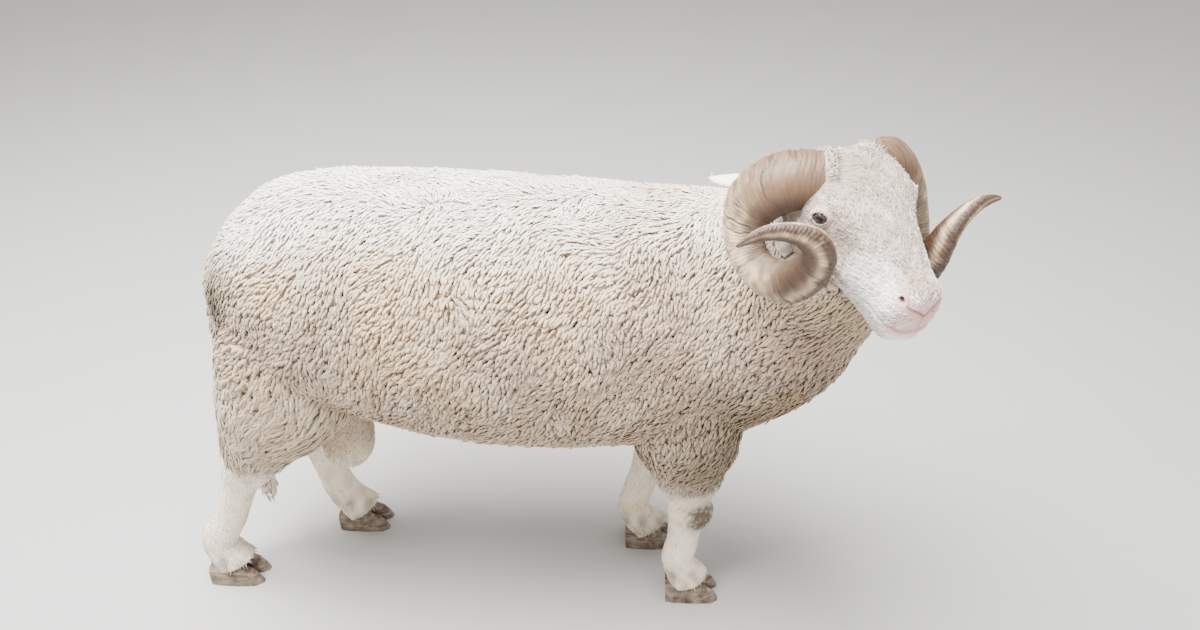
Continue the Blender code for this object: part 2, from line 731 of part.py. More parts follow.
# colour, roughness
LOOKS = {
    "fleece": ((0.62, 0.55, 0.44), 0.95),
    "hair": ((0.80, 0.75, 0.68), 0.85),
    "horn": ((0.42, 0.30, 0.21), 0.60),
    "hoof": ((0.10, 0.075, 0.055), 0.65),
    "eye": ((0.06, 0.045, 0.04), 0.12),
}
LOOK_OF = (("eye", "eye"), ("horn", "horn"), ("hoof", "hoof"), ("head", "hair"), ("ear", "hair"),
           ("scrotum", "hair"), ("", "fleece"))


def dress():
    """Give each node its material and gather them in one collection."""
    slots = {}
    for name, (colour, roughness) in LOOKS.items():
        material = bpy.data.materials.new(name)
        material.use_nodes = True
        shader = material.node_tree.nodes["Principled BSDF"]
        shader.inputs["Base Color"].default_value = (*colour, 1)
        shader.inputs["Roughness"].default_value = roughness
        shader.inputs["Metallic"].default_value = 0.0
        slots[name] = material
    group = bpy.data.collections.new("ram")
    bpy.context.scene.collection.children.link(group)
    for obj in list(bpy.context.scene.objects):
        look = next(slot for word, slot in LOOK_OF if word in obj.name)
        obj.data.materials.clear()
        obj.data.materials.append(slots[look])
        move_to(group, obj)


LEGS = (("fore_leg_right", FORE_RIGHT), ("fore_leg_left", FORE_LEFT),
        ("hind_leg_right", HIND_RIGHT), ("hind_leg_left", HIND_LEFT))


def build():
    clear_scene()
    legs = [body_loft(name, keys, LEG_SIDES, LEG_STEPS, 2.2, True) for name, keys in LEGS]
    for leg in legs:
        cut_off(leg, (0, 0, HOOF_TOP + GAP), (0, 0, -1))
    trunk = body_loft("torso", TRUNK, TRUNK_SIDES, TRUNK_STEPS, TRUNK_POWER, False)
    whole = fleeced("torso", [trunk] + legs, body_wool, 14000, CLUMP_SEED)
    tail_core = body_loft("tail", TAIL, 8, 10, 2.1, True)
    tail = fleeced("tail", [tail_core], tail_wool, 1500, CLUMP_SEED + 20)

    # the tail lies in a shallow notch of the rump
    low, high = Vector((-1.0, -0.052, 0.10)), Vector((TAIL_ROOT_X, 0.066, 0.80))
    boolean(tail, box("cutter", low, high), "INTERSECT")
    notch_low, notch_high = low - Vector((0, GAP, 0)), high + Vector((GAP, GAP, 0))
    notch_low.z = 0.33
    boolean(whole, box("cutter", notch_low, notch_high), "DIFFERENCE")
    boolean(whole, scrotum("cutter", GAP), "DIFFERENCE")
    boolean(tail, scrotum("cutter", GAP), "DIFFERENCE")

    # limbs below their seams, the trunk above them
    nodes = []
    for name, keys in LEGS:
        fore = name.startswith("fore")
        hand = 1 if name.endswith("left") else -1
        seam = FORE_SEAM if fore else HIND_SEAM
        near_x, far_x = (0.165, 0.60) if fore else (-0.70, -0.18)
        near_y, far_y = (GAP / 2, 0.40) if hand == 1 else (-0.40, -GAP / 2)
        limb = copy_of(whole, name)
        boolean(limb, box("cutter", (near_x, near_y, -0.1), (far_x, far_y, seam)), "INTERSECT")
        nodes.append(largest_only(limb))
    for near_x, far_x, seam in ((0.165 - GAP, 0.62, FORE_SEAM), (-0.72, -0.18 + GAP, HIND_SEAM)):
        boolean(whole, box("cutter", (near_x, -0.42, -0.12), (far_x, 0.42, seam + GAP)), "DIFFERENCE")
    point, normal = NECK_SEAM
    neck = copy_of(whole, "neck")
    cut_off(neck, point, -normal)
    cut_off(whole, point - normal * GAP, normal)
    boolean(neck, head_shell("cutter", -GAP), "DIFFERENCE")
    for hand, keys in ((1, HORN_LEFT), (-1, HORN_RIGHT)):
        boolean(neck, horn("cutter", keys, hand, GAP * 2), "DIFFERENCE")
        boolean(neck, ear_socket(hand, 0.0015), "DIFFERENCE")
    for node in (whole, neck, tail):
        largest_only(node)
    scrotum("scrotum")
    head = head_node()
    largest_only(head)
    for hand, word, keys in ((1, "left", HORN_LEFT), (-1, "right", HORN_RIGHT)):
        horn("horn_" + word, keys, hand)
        ear("ear_" + word, hand)
        bpy.ops.mesh.primitive_uv_sphere_add(segments=14, ring_count=8, radius=EYE_RADIUS)
        bpy.context.object.name = "eye_" + word
        bpy.context.object.data.transform(Matrix.Translation(head_point(EYE_AT, EYE_OUT * hand, EYE_UP)))
    feet()
    shift = Matrix.Translation((-CENTRE[0], -CENTRE[1], 0))
    for obj in bpy.context.scene.objects:
        obj.data.transform(shift)
    dress()


build()
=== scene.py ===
# White faced woodland ram: skin, fleece, horns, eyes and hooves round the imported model
import math

import bpy
import numpy as np
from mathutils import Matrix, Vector
from mathutils.bvhtree import BVHTree
from mathutils.kdtree import KDTree


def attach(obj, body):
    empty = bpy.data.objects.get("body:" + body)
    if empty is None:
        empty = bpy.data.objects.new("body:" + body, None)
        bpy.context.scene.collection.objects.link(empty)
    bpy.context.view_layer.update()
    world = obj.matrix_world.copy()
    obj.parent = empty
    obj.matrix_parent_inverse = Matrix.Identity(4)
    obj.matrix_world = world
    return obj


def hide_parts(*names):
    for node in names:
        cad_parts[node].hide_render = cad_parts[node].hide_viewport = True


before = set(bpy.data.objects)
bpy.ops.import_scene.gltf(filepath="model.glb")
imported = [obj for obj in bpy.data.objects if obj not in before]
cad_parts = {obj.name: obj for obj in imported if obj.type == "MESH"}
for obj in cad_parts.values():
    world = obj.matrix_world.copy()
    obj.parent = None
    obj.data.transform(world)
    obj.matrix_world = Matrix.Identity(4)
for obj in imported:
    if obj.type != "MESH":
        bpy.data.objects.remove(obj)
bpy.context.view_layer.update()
middle = np.array((0.0482, -0.0636, 0.0))   # what the keys below are shifted by
print("frame loaded")


# numbers shared by several pieces
coatDepth = 0.012      # from the solids' core down to the skin, where fleece grows
coatTop = 0.015        # from the core up to the surface of the fleece
woolLine = {"fore": 0.275, "hind": 0.312}   # lowest height of the fleece on the legs
hands = (("left", 1), ("right", -1))   # the animal's sides, and their sign across it


def metres(rows, parts=1000):
    # tables are written in whole millimetres, or in tenths of one with 10000 parts
    return np.array(rows, float) / parts


trunkKeys = metres((   # x, y, z, half width, half height up, half height down
    (-441, 0, 574, 50, 48, 58), (-426, 0, 576, 92, 82, 102), (-388, 0, 580, 136, 120, 140),
    (-332, 0, 586, 172, 155, 155), (-250, 0, 580, 192, 172, 158), (-120, 0, 570, 206, 180, 188),
    (20, 0, 562, 210, 180, 205), (130, 0, 560, 202, 178, 200), (230, -3, 570, 184, 168, 202),
    (315, -15, 594, 162, 150, 204), (380, -38, 632, 138, 130, 186), (425, -70, 682, 115, 113, 148),
    (452, -105, 730, 97, 100, 122), (462, -133, 775, 84, 88, 98), (460, -158, 822, 68, 70, 78),
))
legKeys = {   # x, y, z, half width, half depth forward, half depth back
    "foreRight": metres((
        (285, -110, 520, 60, 80, 90), (290, -100, 420, 62, 78, 78), (298, -82, 340, 50, 62, 60),
        (303, -70, 260, 40, 46, 46), (306, -66, 222, 33, 38, 36), (307, -64, 195, 34, 41, 36),
        (303, -64, 165, 26, 29, 29), (300, -64, 120, 24, 26, 28), (295, -64, 85, 25, 25, 30),
        (302, -64, 60, 27, 28, 31), (312, -64, 36, 33, 38, 36),
    )),
    "foreLeft": metres((
        (285, 110, 520, 60, 80, 90), (285, 100, 420, 62, 78, 78), (278, 84, 340, 50, 62, 60),
        (262, 73, 265, 40, 46, 46), (250, 69, 228, 33, 38, 36), (243, 67, 200, 34, 41, 36),
        (232, 66, 168, 26, 29, 29), (218, 66, 120, 24, 26, 28), (212, 66, 85, 25, 25, 30),
        (222, 66, 60, 27, 28, 31), (236, 66, 36, 33, 41, 36),
    )),
    "hindRight": metres((
        (-335, -105, 560, 70, 110, 80), (-350, -108, 450, 70, 104, 88), (-375, -100, 375, 62, 62, 80),
        (-412, -86, 310, 48, 44, 56), (-448, -74, 268, 34, 40, 38), (-466, -69, 242, 31, 34, 36),
        (-482, -68, 205, 26, 28, 31), (-510, -70, 140, 24, 27, 28), (-536, -72, 90, 26, 29, 33),
        (-532, -72, 62, 28, 32, 33), (-522, -72, 36, 33, 41, 36),
    )),
    "hindLeft": metres((
        (-320, 105, 560, 70, 110, 90), (-325, 110, 450, 70, 112, 96), (-335, 105, 375, 62, 92, 84),
        (-358, 92, 310, 48, 62, 60), (-380, 83, 270, 34, 38, 38), (-388, 80, 244, 31, 33, 36),
        (-388, 80, 205, 26, 28, 30), (-375, 81, 140, 24, 27, 28), (-358, 81, 88, 26, 29, 33),
        (-342, 81, 60, 28, 32, 33), (-326, 81, 36, 33, 41, 36),
    )),
}
tailKeys = metres((
    (-412, 0, 654, 34, 22, 26), (-438, 3, 612, 34, 20, 22), (-454, 6, 540, 33, 18, 20),
    (-462, 10, 430, 31, 17, 18), (-466, 14, 300, 27, 15, 17), (-470, 18, 200, 22, 13, 15),
    (-472, 20, 140, 14, 10, 11),
))
scrotumKeys = metres((
    (-284, -10, 430, 28, 28, 28), (-286, -12, 404, 30, 30, 30), (-287, -13, 380, 34, 33, 33),
    (-289, -14, 345, 44, 40, 40), (-290, -15, 300, 53, 45, 45), (-290, -15, 265, 50, 42, 42),
    (-290, -15, 247, 34, 29, 29),
))
headKeys = metres((   # from the poll along the head, half width, profile above, profile below
    (0, 40, 4, 50), (10, 56, 30, 70), (30, 66, 52, 86), (60, 73, 58, 90), (85, 76, 60, 86),
    (110, 68, 60, 78), (140, 58, 59, 67), (170, 50, 56, 55), (200, 43, 53, 47), (220, 38, 48, 43),
    (234, 31, 32, 38), (242, 22, 12, 28), (246, 10, 2, 14),
))
hornKeys = {   # along the head, out, up, half width across the coil
    "right": metres((
        (48, 30, 26, 33), (29, 78, 10, 35), (25, 101, -34, 35), (45, 110, -63, 30), (69, 112, -77, 27.5),
        (94, 108, -79, 26.5), (117, 103, -67, 26.5), (134, 99, -38, 25), (139, 98, -1, 23),
        (135, 100, 30, 21), (126, 107, 47, 19), (116, 118, 54, 17), (105, 137, 55, 13.5),
        (98, 160, 52, 10.5), (97, 180, 46, 7), (99, 196, 38, 3),
    )),
    "left": metres((
        (46, 30, 16, 33), (34, 87, -2, 34), (54, 114, -28, 34), (78, 125, -50, 31), (106, 127, -67, 28),
        (127, 123, -79, 27), (146, 118, -84, 27), (157, 114, -74, 26), (159, 112, -56, 24),
        (154, 114, -36, 22), (147, 116, -18, 20), (137, 124, -1, 17.5), (127, 141, 13, 14),
        (120, 163, 21, 11), (119, 183, 24, 7), (121, 198, 25, 3),
    )),
}
headPose = {"yaw": 59, "pitch": 40, "tilt": 1, "eyeMiddle": (0.4749, -0.2256, 0.8346)}
eyeCentre = np.array((0.085, 0.0625, 0.024))   # along the head, out, up
eyeRadius = 0.0145


# small tools
def throughKeys(keys, places):
    # smooth curve through the keys (Catmull-Rom), read at fractional key numbers
    padded = np.vstack([2 * keys[0] - keys[1], keys, 2 * keys[-1] - keys[-2]])
    index = np.clip(places.astype(int), 0, len(keys) - 2)
    t = (places - index)[:, None]
    before, start, end, after = (padded[index + k] for k in range(4))
    return 0.5 * (2 * start + (end - before) * t + (2 * before - 5 * start + 4 * end - after) * t ** 2
                  + (3 * start - before - 3 * end + after) * t ** 3)


def unit(vectors):
    # vectors over their own length
    return vectors / np.maximum(np.linalg.norm(vectors, axis=-1, keepdims=True), 1e-9)


def onSurface(flow, normal):
    # the direction of a flow less its part along the normal
    return unit(flow - normal * (flow * normal).sum(-1, keepdims=True))


def smooth(low, high, value):
    # 0 below low, 1 above high, an S between them
    t = np.clip((value - low) / (high - low), 0, 1)
    return t * t * (3 - 2 * t)


def bellAt(points, centre, radii):
    # e to the minus squared distance, counted in radii
    return np.exp(-(((points - np.array(centre)) / np.array(radii)) ** 2).sum(-1))


def halo(gap, width):
    # 1 at no distance, e to the minus squared distance in widths
    return np.exp(-(gap / width) ** 2)


def signedPower(value, exponent):
    # power of the size, with the sign kept
    return np.sign(value) * np.abs(value) ** exponent


def ripple(points, scale, seed, count=14):
    # soft noise from -1 to 1: the mean of sines that run in seeded directions
    rng = np.random.default_rng(seed)
    ways = unit(rng.normal(size=(count, 3))) * (2 * np.pi / scale) * rng.uniform(0.6, 1.5, (count, 1))
    return np.sin(points @ ways.T + rng.uniform(0, 2 * np.pi, count)).sum(-1) / math.sqrt(count)


def ripples(points, scales, seed):
    # a ripple for each part of a vector, with seeds that follow each other
    return np.stack([ripple(points, scale, seed + k) for k, scale in enumerate(scales)], -1)


def headAxes():
    # to the nose, to the animal's left, up through the forehead, and the poll
    yaw, pitch, tilt = (math.radians(headPose[k]) for k in ("yaw", "pitch", "tilt"))
    nose = np.array((math.cos(pitch) * math.cos(yaw), -math.cos(pitch) * math.sin(yaw), -math.sin(pitch)))
    flat = np.array((math.sin(yaw), math.cos(yaw), 0))
    left = flat * math.cos(tilt) + np.cross(nose, flat) * math.sin(tilt)
    return nose, left, np.cross(nose, left), np.array(headPose["eyeMiddle"]) - nose * eyeCentre[0] - middle


noseWay, leftWay, upWay, poll = headAxes()
headTurn = np.stack([noseWay, leftWay, upWay])


def fromHead(rows, hand):
    # poll + nose way * along + left way * out * hand + up way * up
    return (poll + np.multiply.outer(rows[:, 0], noseWay) + np.multiply.outer(rows[:, 1] * hand, leftWay)
            + np.multiply.outer(rows[:, 2], upWay))


def treeOf(points):
    # for finding the points nearest to a place
    tree = KDTree(len(points))
    for k, q in enumerate(points):
        tree.insert(q, k)
    tree.balance()
    return tree


def makeMesh(name, points, *faces):
    # whole arrays of corner numbers, one array for each kind of face
    mesh = bpy.data.meshes.new(name)
    corners = np.concatenate([np.asarray(part, np.int32).reshape(-1) for part in faces])
    sizes = np.concatenate([np.full(len(part), part.shape[1], np.int32) for part in faces])
    mesh.vertices.add(len(points))
    mesh.vertices.foreach_set("co", np.asarray(points, np.float32).reshape(-1))
    mesh.loops.add(len(corners))
    mesh.loops.foreach_set("vertex_index", corners)
    mesh.polygons.add(len(sizes))
    starts = np.concatenate([[0], np.cumsum(sizes)[:-1]])
    mesh.polygons.foreach_set("loop_start", starts.astype(np.int32))
    mesh.polygons.foreach_set("use_smooth", np.ones(len(sizes), bool))
    mesh.update(calc_edges=True)
    made = bpy.data.objects.new(name, mesh)
    bpy.context.scene.collection.objects.link(made)
    return made


def pointsOf(made):
    # the places of a mesh's points, a row each
    co = np.zeros(len(made.data.vertices) * 3)
    made.data.vertices.foreach_get("co", co)
    return co.reshape(-1, 3)


def faceOut(made):
    # turns the faces round where the signed volume is below zero
    made.data.calc_loop_triangles()
    index = np.zeros(len(made.data.loop_triangles) * 3, np.int32)
    made.data.loop_triangles.foreach_get("vertices", index)
    a, b, c = pointsOf(made)[index.reshape(-1, 3)].transpose(1, 0, 2)
    if (a * np.cross(b, c)).sum() < 0:
        made.data.flip_normals()
    return made


def ringQuads(rows, sides):
    # corner numbers of rows of closed rings, those one place round, and the quads between rows
    here = np.arange(rows * sides).reshape(rows, sides)
    after = np.roll(here, -1, axis=1)
    return here, after, np.stack([here[:-1], after[:-1], after[1:], here[1:]], -1).reshape(-1, 4)


def closedGrid(name, grid, startPole, endPole):
    # rows of a closed ring, each row joined to the next, and a pole at either end
    rows, sides = grid.shape[:2]
    here, after, quads = ringQuads(rows, sides)
    start, end = rows * sides, rows * sides + 1
    caps = np.vstack([np.stack([after[0], here[0], np.full(sides, start)], -1),
                      np.stack([here[-1], after[-1], np.full(sides, end)], -1)])
    return faceOut(makeMesh(name, np.vstack([grid.reshape(-1, 3), startPole, endPole]), quads, caps))


def layUv(made, name, values):
    # a map, with a pair of values for each corner of the faces in turn
    layer = made.data.uv_layers.new(name=name)
    layer.data.foreach_set("uv", np.asarray(values, np.float32).reshape(-1))


def layColour(made, values):
    # the tint of each point
    layer = made.data.color_attributes.new("tint", "FLOAT_COLOR", "POINT")
    rgba = np.ones((len(values), 4), np.float32)
    rgba[:, :3] = values
    layer.data.foreach_set("color", rgba.reshape(-1))


# body forms
domeSteps = 5


def limbForm(keys, steps, sides, power, upright, inset, dome):
    # sections square to the centre line, each a superellipse: middle + side*c^(2/p)*width
    # + up*s^(2/p)*height; either end rounds off as a dome
    rows = throughKeys(keys, np.linspace(0, len(keys) - 1, steps + 1))
    ends = np.linspace(0, np.pi / 2, domeSteps + 2)[1:-1]
    path = rows[:, :3] - middle
    span = np.concatenate([np.full(domeSteps, 0), np.arange(steps + 1), np.full(domeSteps, steps)])
    shrink = np.concatenate([np.cos(ends[::-1]), np.ones(steps + 1), np.cos(ends)])[:, None]
    lift = np.concatenate([-np.sin(ends[::-1]) * dome[0], np.zeros(steps + 1), np.sin(ends) * dome[1]])
    way, rows = unit(np.gradient(path, axis=0))[span], rows[span]
    centre = path[span] + way * lift[:, None]
    side = np.tile((0.0, 1.0, 0.0), (len(span), 1)) if upright else np.cross((0.0, 0.0, 1.0), way)
    side = onSurface(side, way)
    up = np.cross(way, side)
    angle = np.linspace(0, 2 * np.pi, sides, endpoint=False)
    across, high = signedPower(np.cos(angle), 2 / power), signedPower(np.sin(angle), 2 / power)
    take = inset(rows) if callable(inset) else inset
    width = (rows[:, 3:4] - take) * shrink * across
    height = (np.where(high > 0, rows[:, 4:5], rows[:, 5:6]) - take) * shrink * high
    grid = centre[:, None] + side[:, None] * width[..., None] + up[:, None] * height[..., None]
    dip = [depth - depth * math.sin(ends[-1]) for depth in dome]
    return grid, (centre[0] - way[0] * dip[0], centre[-1] + way[-1] * dip[1])


earShape = {
    "root": (0.004, 0.050, -0.050), "way": (-0.535, 0.667, -0.524), "face": (0.60, 0.10, -0.80),
    "length": 0.086, "half": 0.020, "thick": 0.0045, "rows": 60, "sides": 44,
    "stations": np.array((   # part of the length, width, depth of the cup
        (-0.16, 0.50, 1.25), (0.0, 0.52, 1.25), (0.16, 0.66, 1.05), (0.36, 0.95, 0.80),
        (0.58, 1.00, 0.62), (0.78, 0.80, 0.45), (0.92, 0.48, 0.30), (1.0, 0.10, 0.10))),
}


def earAxes(hand):
    # root of an ear, the way to its tip, the way out of its hollow square to that, and across both
    turn = np.array((1, hand, 1))
    way = unit(np.array(earShape["way"]) * turn)
    face = np.array(earShape["face"]) * turn
    face = unit(face - way * (face @ way))
    return np.array(earShape["root"]) * turn, way, face, np.cross(way, face)


def earForm(hand):
    # a cupped leaf: each ring goes out along the back of the cup and returns along its inside,
    # point = root + way*part + side*half*sin(a) - face*half*cup*cos(a), a half thickness either way
    shape = earShape
    root, way, face, side = earAxes(hand)
    stations = shape["stations"]
    part, width, cup = throughKeys(stations, np.linspace(0, len(stations) - 1, shape["rows"])).T
    half = shape["sides"] // 2
    outer = np.linspace(-1.25, 1.25, half)
    angle = np.concatenate([outer, outer[::-1]])
    skinSide = np.repeat((1.0, -1.0), half)
    thick = shape["thick"] / 2 * (1 - 0.75 * smooth(1.05, 1.25, np.abs(angle))) * skinSide
    reach = shape["half"] * width[:, None]
    depth = -reach * cup[:, None] * np.cos(angle) - thick + reach * cup[:, None] * 0.5
    local = (root + way * (shape["length"] * part)[:, None, None]
             + side * (reach * np.sin(angle))[..., None] + face * depth[..., None])
    grid = poll + local @ headTurn
    return grid, (grid[0].mean(0), grid[-1].mean(0))


headShape = {   # lines in tenths of a millimetre: along the head, out, up
    "rings": 286, "sides": 224, "jawTaper": 0.22, "browTaper": 0.10,
    "eyeHalf": (0.0092, 0.0067), "lidThick": 0.0017,
    "nostril": metres(((2120, 300, 438), (2156, 285, 423), (2194, 269, 412), (2235, 237, 397),
                       (2269, 187, 385), (2303, 103, 362), (2350, 10, 305)), 10000),
    "mouth": metres(((2450, 0, 85), (2440, 60, 86), (2427, 149, 84), (2387, 254, 76), (2317, 322, 78),
                     (2239, 365, 76), (2100, 410, 55), (1920, 445, 40)), 10000),
    "cleft": metres(((2345, 0, 310), (2365, 0, 272), (2400, 0, 187), (2440, 0, 95)), 10000),
    "tear": metres(((930, 665, 300), (985, 635, 300), (1040, 605, 285), (1085, 580, 260)), 10000),
    "swellings": metres((   # place, radii, height, in tenths of a millimetre
        (830, 535, 280, 300, 200, 240, 60),      # orbit
        (1000, 500, 480, 300, 180, 160, 30),     # brow
        (460, 540, 360, 340, 220, 260, 100),     # boss at the foot of the horn
        (600, 700, -300, 400, 300, 400, 35),     # cheek muscle
        (1280, 560, -50, 300, 140, 120, 18),     # crest below the eye
        (1260, 500, 220, 260, 200, 180, -30),    # hollow before the eye
        (2120, 260, 360, 170, 140, 150, 50),     # wing of the nostril
        (2160, 360, 200, 200, 200, 120, 30),     # upper lip pad
        (2370, 120, 190, 120, 160, 90, 20),      # lip front
        (2360, 120, -20, 140, 220, 90, 22),      # lower lip
        (2120, 0, -360, 200, 220, 140, 30),      # chin
        (1880, 360, 400, 35, 160, 140, -14),     # folds behind the nostril
        (1960, 360, 300, 35, 160, 140, -10),
    ), 10000),
}
nostrilWay = np.array((-0.55, -0.72, -0.40))   # the nostril goes in this way


def nearLine(points, line):
    # distance from each point to a broken line, and how far along it the near place is, 0 to 1
    best = np.full(points.shape[:-1], 9.0)
    where = np.zeros(points.shape[:-1])
    for k in range(len(line) - 1):
        step = line[k + 1] - line[k]
        t = np.clip(((points - line[k]) @ step) / (step @ step), 0, 1)
        gap = np.linalg.norm(points - line[k] - t[..., None] * step, axis=-1)
        where = np.where(gap < best, (k + t) / (len(line) - 1), where)
        best = np.minimum(best, gap)
    return best, where


def headForm():
    # rings along the head, each a softened superellipse, narrower at the jaw and the bridge;
    # then swellings are added as bells and creases are sunk along lines
    shape = headShape
    t = np.linspace(0, 1, 4000)
    weight = 1.0 + 1.6 * halo(t - 0.36, 0.07) + 2.2 * smooth(0.74, 0.86, t)
    evenly = np.interp(np.linspace(0, 1, shape["rings"]), np.cumsum(weight) / weight.sum(), t)
    fine = throughKeys(headKeys, np.linspace(0, len(headKeys) - 1, 4000))
    wanted = evenly * headKeys[-1, 0]
    rows = np.stack([np.interp(wanted, fine[:, 0], fine[:, k]) for k in range(4)], -1)
    angle = np.linspace(0, 2 * np.pi, shape["sides"], endpoint=False)
    angle = angle - 0.10 * np.sin(2 * angle)
    across, high = signedPower(np.cos(angle), 0.92), signedPower(np.sin(angle), 0.88)
    taper = 1 - shape["jawTaper"] * np.maximum(0, -high) - shape["browTaper"] * np.maximum(0, high)
    mid, half = (rows[:, 2] - rows[:, 3]) / 2, (rows[:, 2] + rows[:, 3]) / 2
    local = np.empty((len(rows), len(angle), 3))
    local[..., 0] = rows[:, 0][:, None]
    local[..., 1] = rows[:, 1][:, None] * across * taper
    local[..., 2] = mid[:, None] + high * half[:, None]
    # round off the last few millimetres of the muzzle
    ends = np.linspace(0.08, 1.0, 9)[:, None]
    core = local[-1].mean(0)
    cap = core + (local[-1] - core) * np.sqrt(np.clip(1 - ends ** 2, 0, 1))[:, :, None]
    cap[..., 0] += ends * 0.0035
    local = np.concatenate([local, cap[:-1]], 0)
    hand = np.sign(local[..., 1])
    local[..., 1] = np.abs(local[..., 1])
    outward = unit(np.stack([smooth(0.215, 0.246, local[..., 0]) * 0.9, local[..., 1] / 0.05,
                             local[..., 2] / 0.06], -1))
    for row in shape["swellings"]:
        local = local + bellAt(local, row[:3], row[3:6])[..., None] * row[6] * outward
    # nostril: a comma that widens to its outer end
    gap, where = nearLine(local, shape["nostril"])
    size = 0.0026 - 0.0014 * smooth(0.10, 0.45, where)
    sink = halo(gap, size) * (0.0085 - 0.0062 * smooth(0.08, 0.40, where))
    local = local + sink[..., None] * nostrilWay
    rim = halo(gap - size * 1.9, size * 0.8) * 0.001
    local = local + rim[..., None] * outward
    # mouth with its lips, the cleft of the upper lip, and the crease below the eye
    gap, where = nearLine(local, shape["mouth"])
    fade = 1 - 0.6 * smooth(0.75, 1.0, where)
    local = local - (halo(gap, 0.0016) * 0.0036 * fade)[..., None] * outward
    local = local + (halo(gap - 0.0048, 0.0026) * 0.001 * fade)[..., None] * outward
    for line, reach, depth in (("cleft", 0.0014, 0.0016), ("tear", 0.0013, 0.0014)):
        gap, _ = nearLine(local, shape[line])
        local = local - (halo(gap, reach) * depth)[..., None] * outward
    local = openEye(local)
    local[..., 1] *= hand
    return local


def eyeAxes():
    # facing of the eye and its own along and up, in head coordinates of the left side
    facing = unit(np.array((0.30, 0.84, 0.42)))
    along = np.array((0.773, -0.483, 0.414))
    along = unit(along - facing * (along @ facing))
    up = np.cross(facing, along)
    return facing, along, up if up[2] > 0 else -up


def openEye(local):
    # inside an almond the skin drops behind the eyeball; round it, it rises to lids that lie
    # on the ball, and beyond them it eases back to the cheek
    hollow, widest = -0.004, 0.035
    facing, along, up = eyeAxes()
    far = local - eyeCentre
    s, t, h = far @ along, far @ up, far @ facing
    halfLong, halfHigh = headShape["eyeHalf"]
    q = ((np.abs(s) / halfLong) ** 1.7 + (np.abs(t) / halfHigh) ** 1.9) ** (1 / 1.8)
    r2 = s ** 2 + t ** 2
    ball = np.sqrt(np.maximum(eyeRadius ** 2 - r2, 0.0045 ** 2))
    thick = headShape["lidThick"] * (1.0 + 0.35 * (t > 0))
    lid = ball + thick - 0.0004 * halo(q - 1.6, 0.25)
    goal = hollow + (lid - hollow) * smooth(0.86, 1.02, q)
    near = (1 - smooth(1.20, 3.4, q)) * (h > -0.006) * (r2 < widest ** 2)
    return local + ((goal - h) * near)[..., None] * facing


# markings, the same for skin and coat
tints = {
    "cream": (0.865, 0.765, 0.63), "white": (0.93, 0.895, 0.85), "beige": (0.43, 0.295, 0.18),
    "pink": (0.70, 0.40, 0.35), "greyPatch": (0.27, 0.228, 0.17), "mud": (0.10, 0.066, 0.038),
    "straw": (0.60, 0.43, 0.22), "butter": (0.62, 0.445, 0.265), "dusk": (0.42, 0.295, 0.215),
    "dustAndShade": (0.205, 0.14, 0.085), "stain": (0.10, 0.075, 0.035), "flush": (0.80, 0.48, 0.435),
    "creaseShade": (0.24, 0.07, 0.065), "face": (0.35, 0.298, 0.24), "muzzle": (0.93, 0.90, 0.87),
    "nostrilShadow": (0.012, 0.008, 0.008), "tan": (0.50, 0.35, 0.225), "earPink": (0.64, 0.33, 0.27),
}


def headLocal(points):
    # along, out and up in head coordinates, both sides as the left one
    far = points - poll
    return np.stack([far @ noseWay, np.abs(far @ leftWay), far @ upWay], -1)


def blended(colour, goal, part):
    # colour + (goal - colour) * part
    return colour + (np.array(goal) - colour) * np.clip(part, 0, 1)[..., None]


def earInside(points):
    # 1 on the hollow side of either ear, fading at its rim
    inside = np.zeros(len(points))
    stations = earShape["stations"]
    for _, hand in hands:
        root, way, face, side = earAxes(hand)
        far = (points - poll) @ headTurn.T - root
        part = far @ way / earShape["length"]
        width, cup = (np.interp(part, stations[:, 0], stations[:, j]) for j in (1, 2))
        reach = earShape["half"] * width
        lean = np.clip((far @ side) / reach, -1, 1)
        high = far @ face - reach * cup * (0.5 - np.sqrt(1 - np.clip(np.abs(lean), 0, 0.98) ** 2))
        near = (part > 0.02) & (part < 1.02) & (np.abs(far @ side) < reach * 1.2) & (np.abs(high) < 0.012)
        inside = np.maximum(inside, near * smooth(0.0002, 0.0012, high)
                            * (1 - smooth(0.70, 0.95, np.abs(lean))) * (1 - smooth(0.80, 1.0, part)))
    return inside


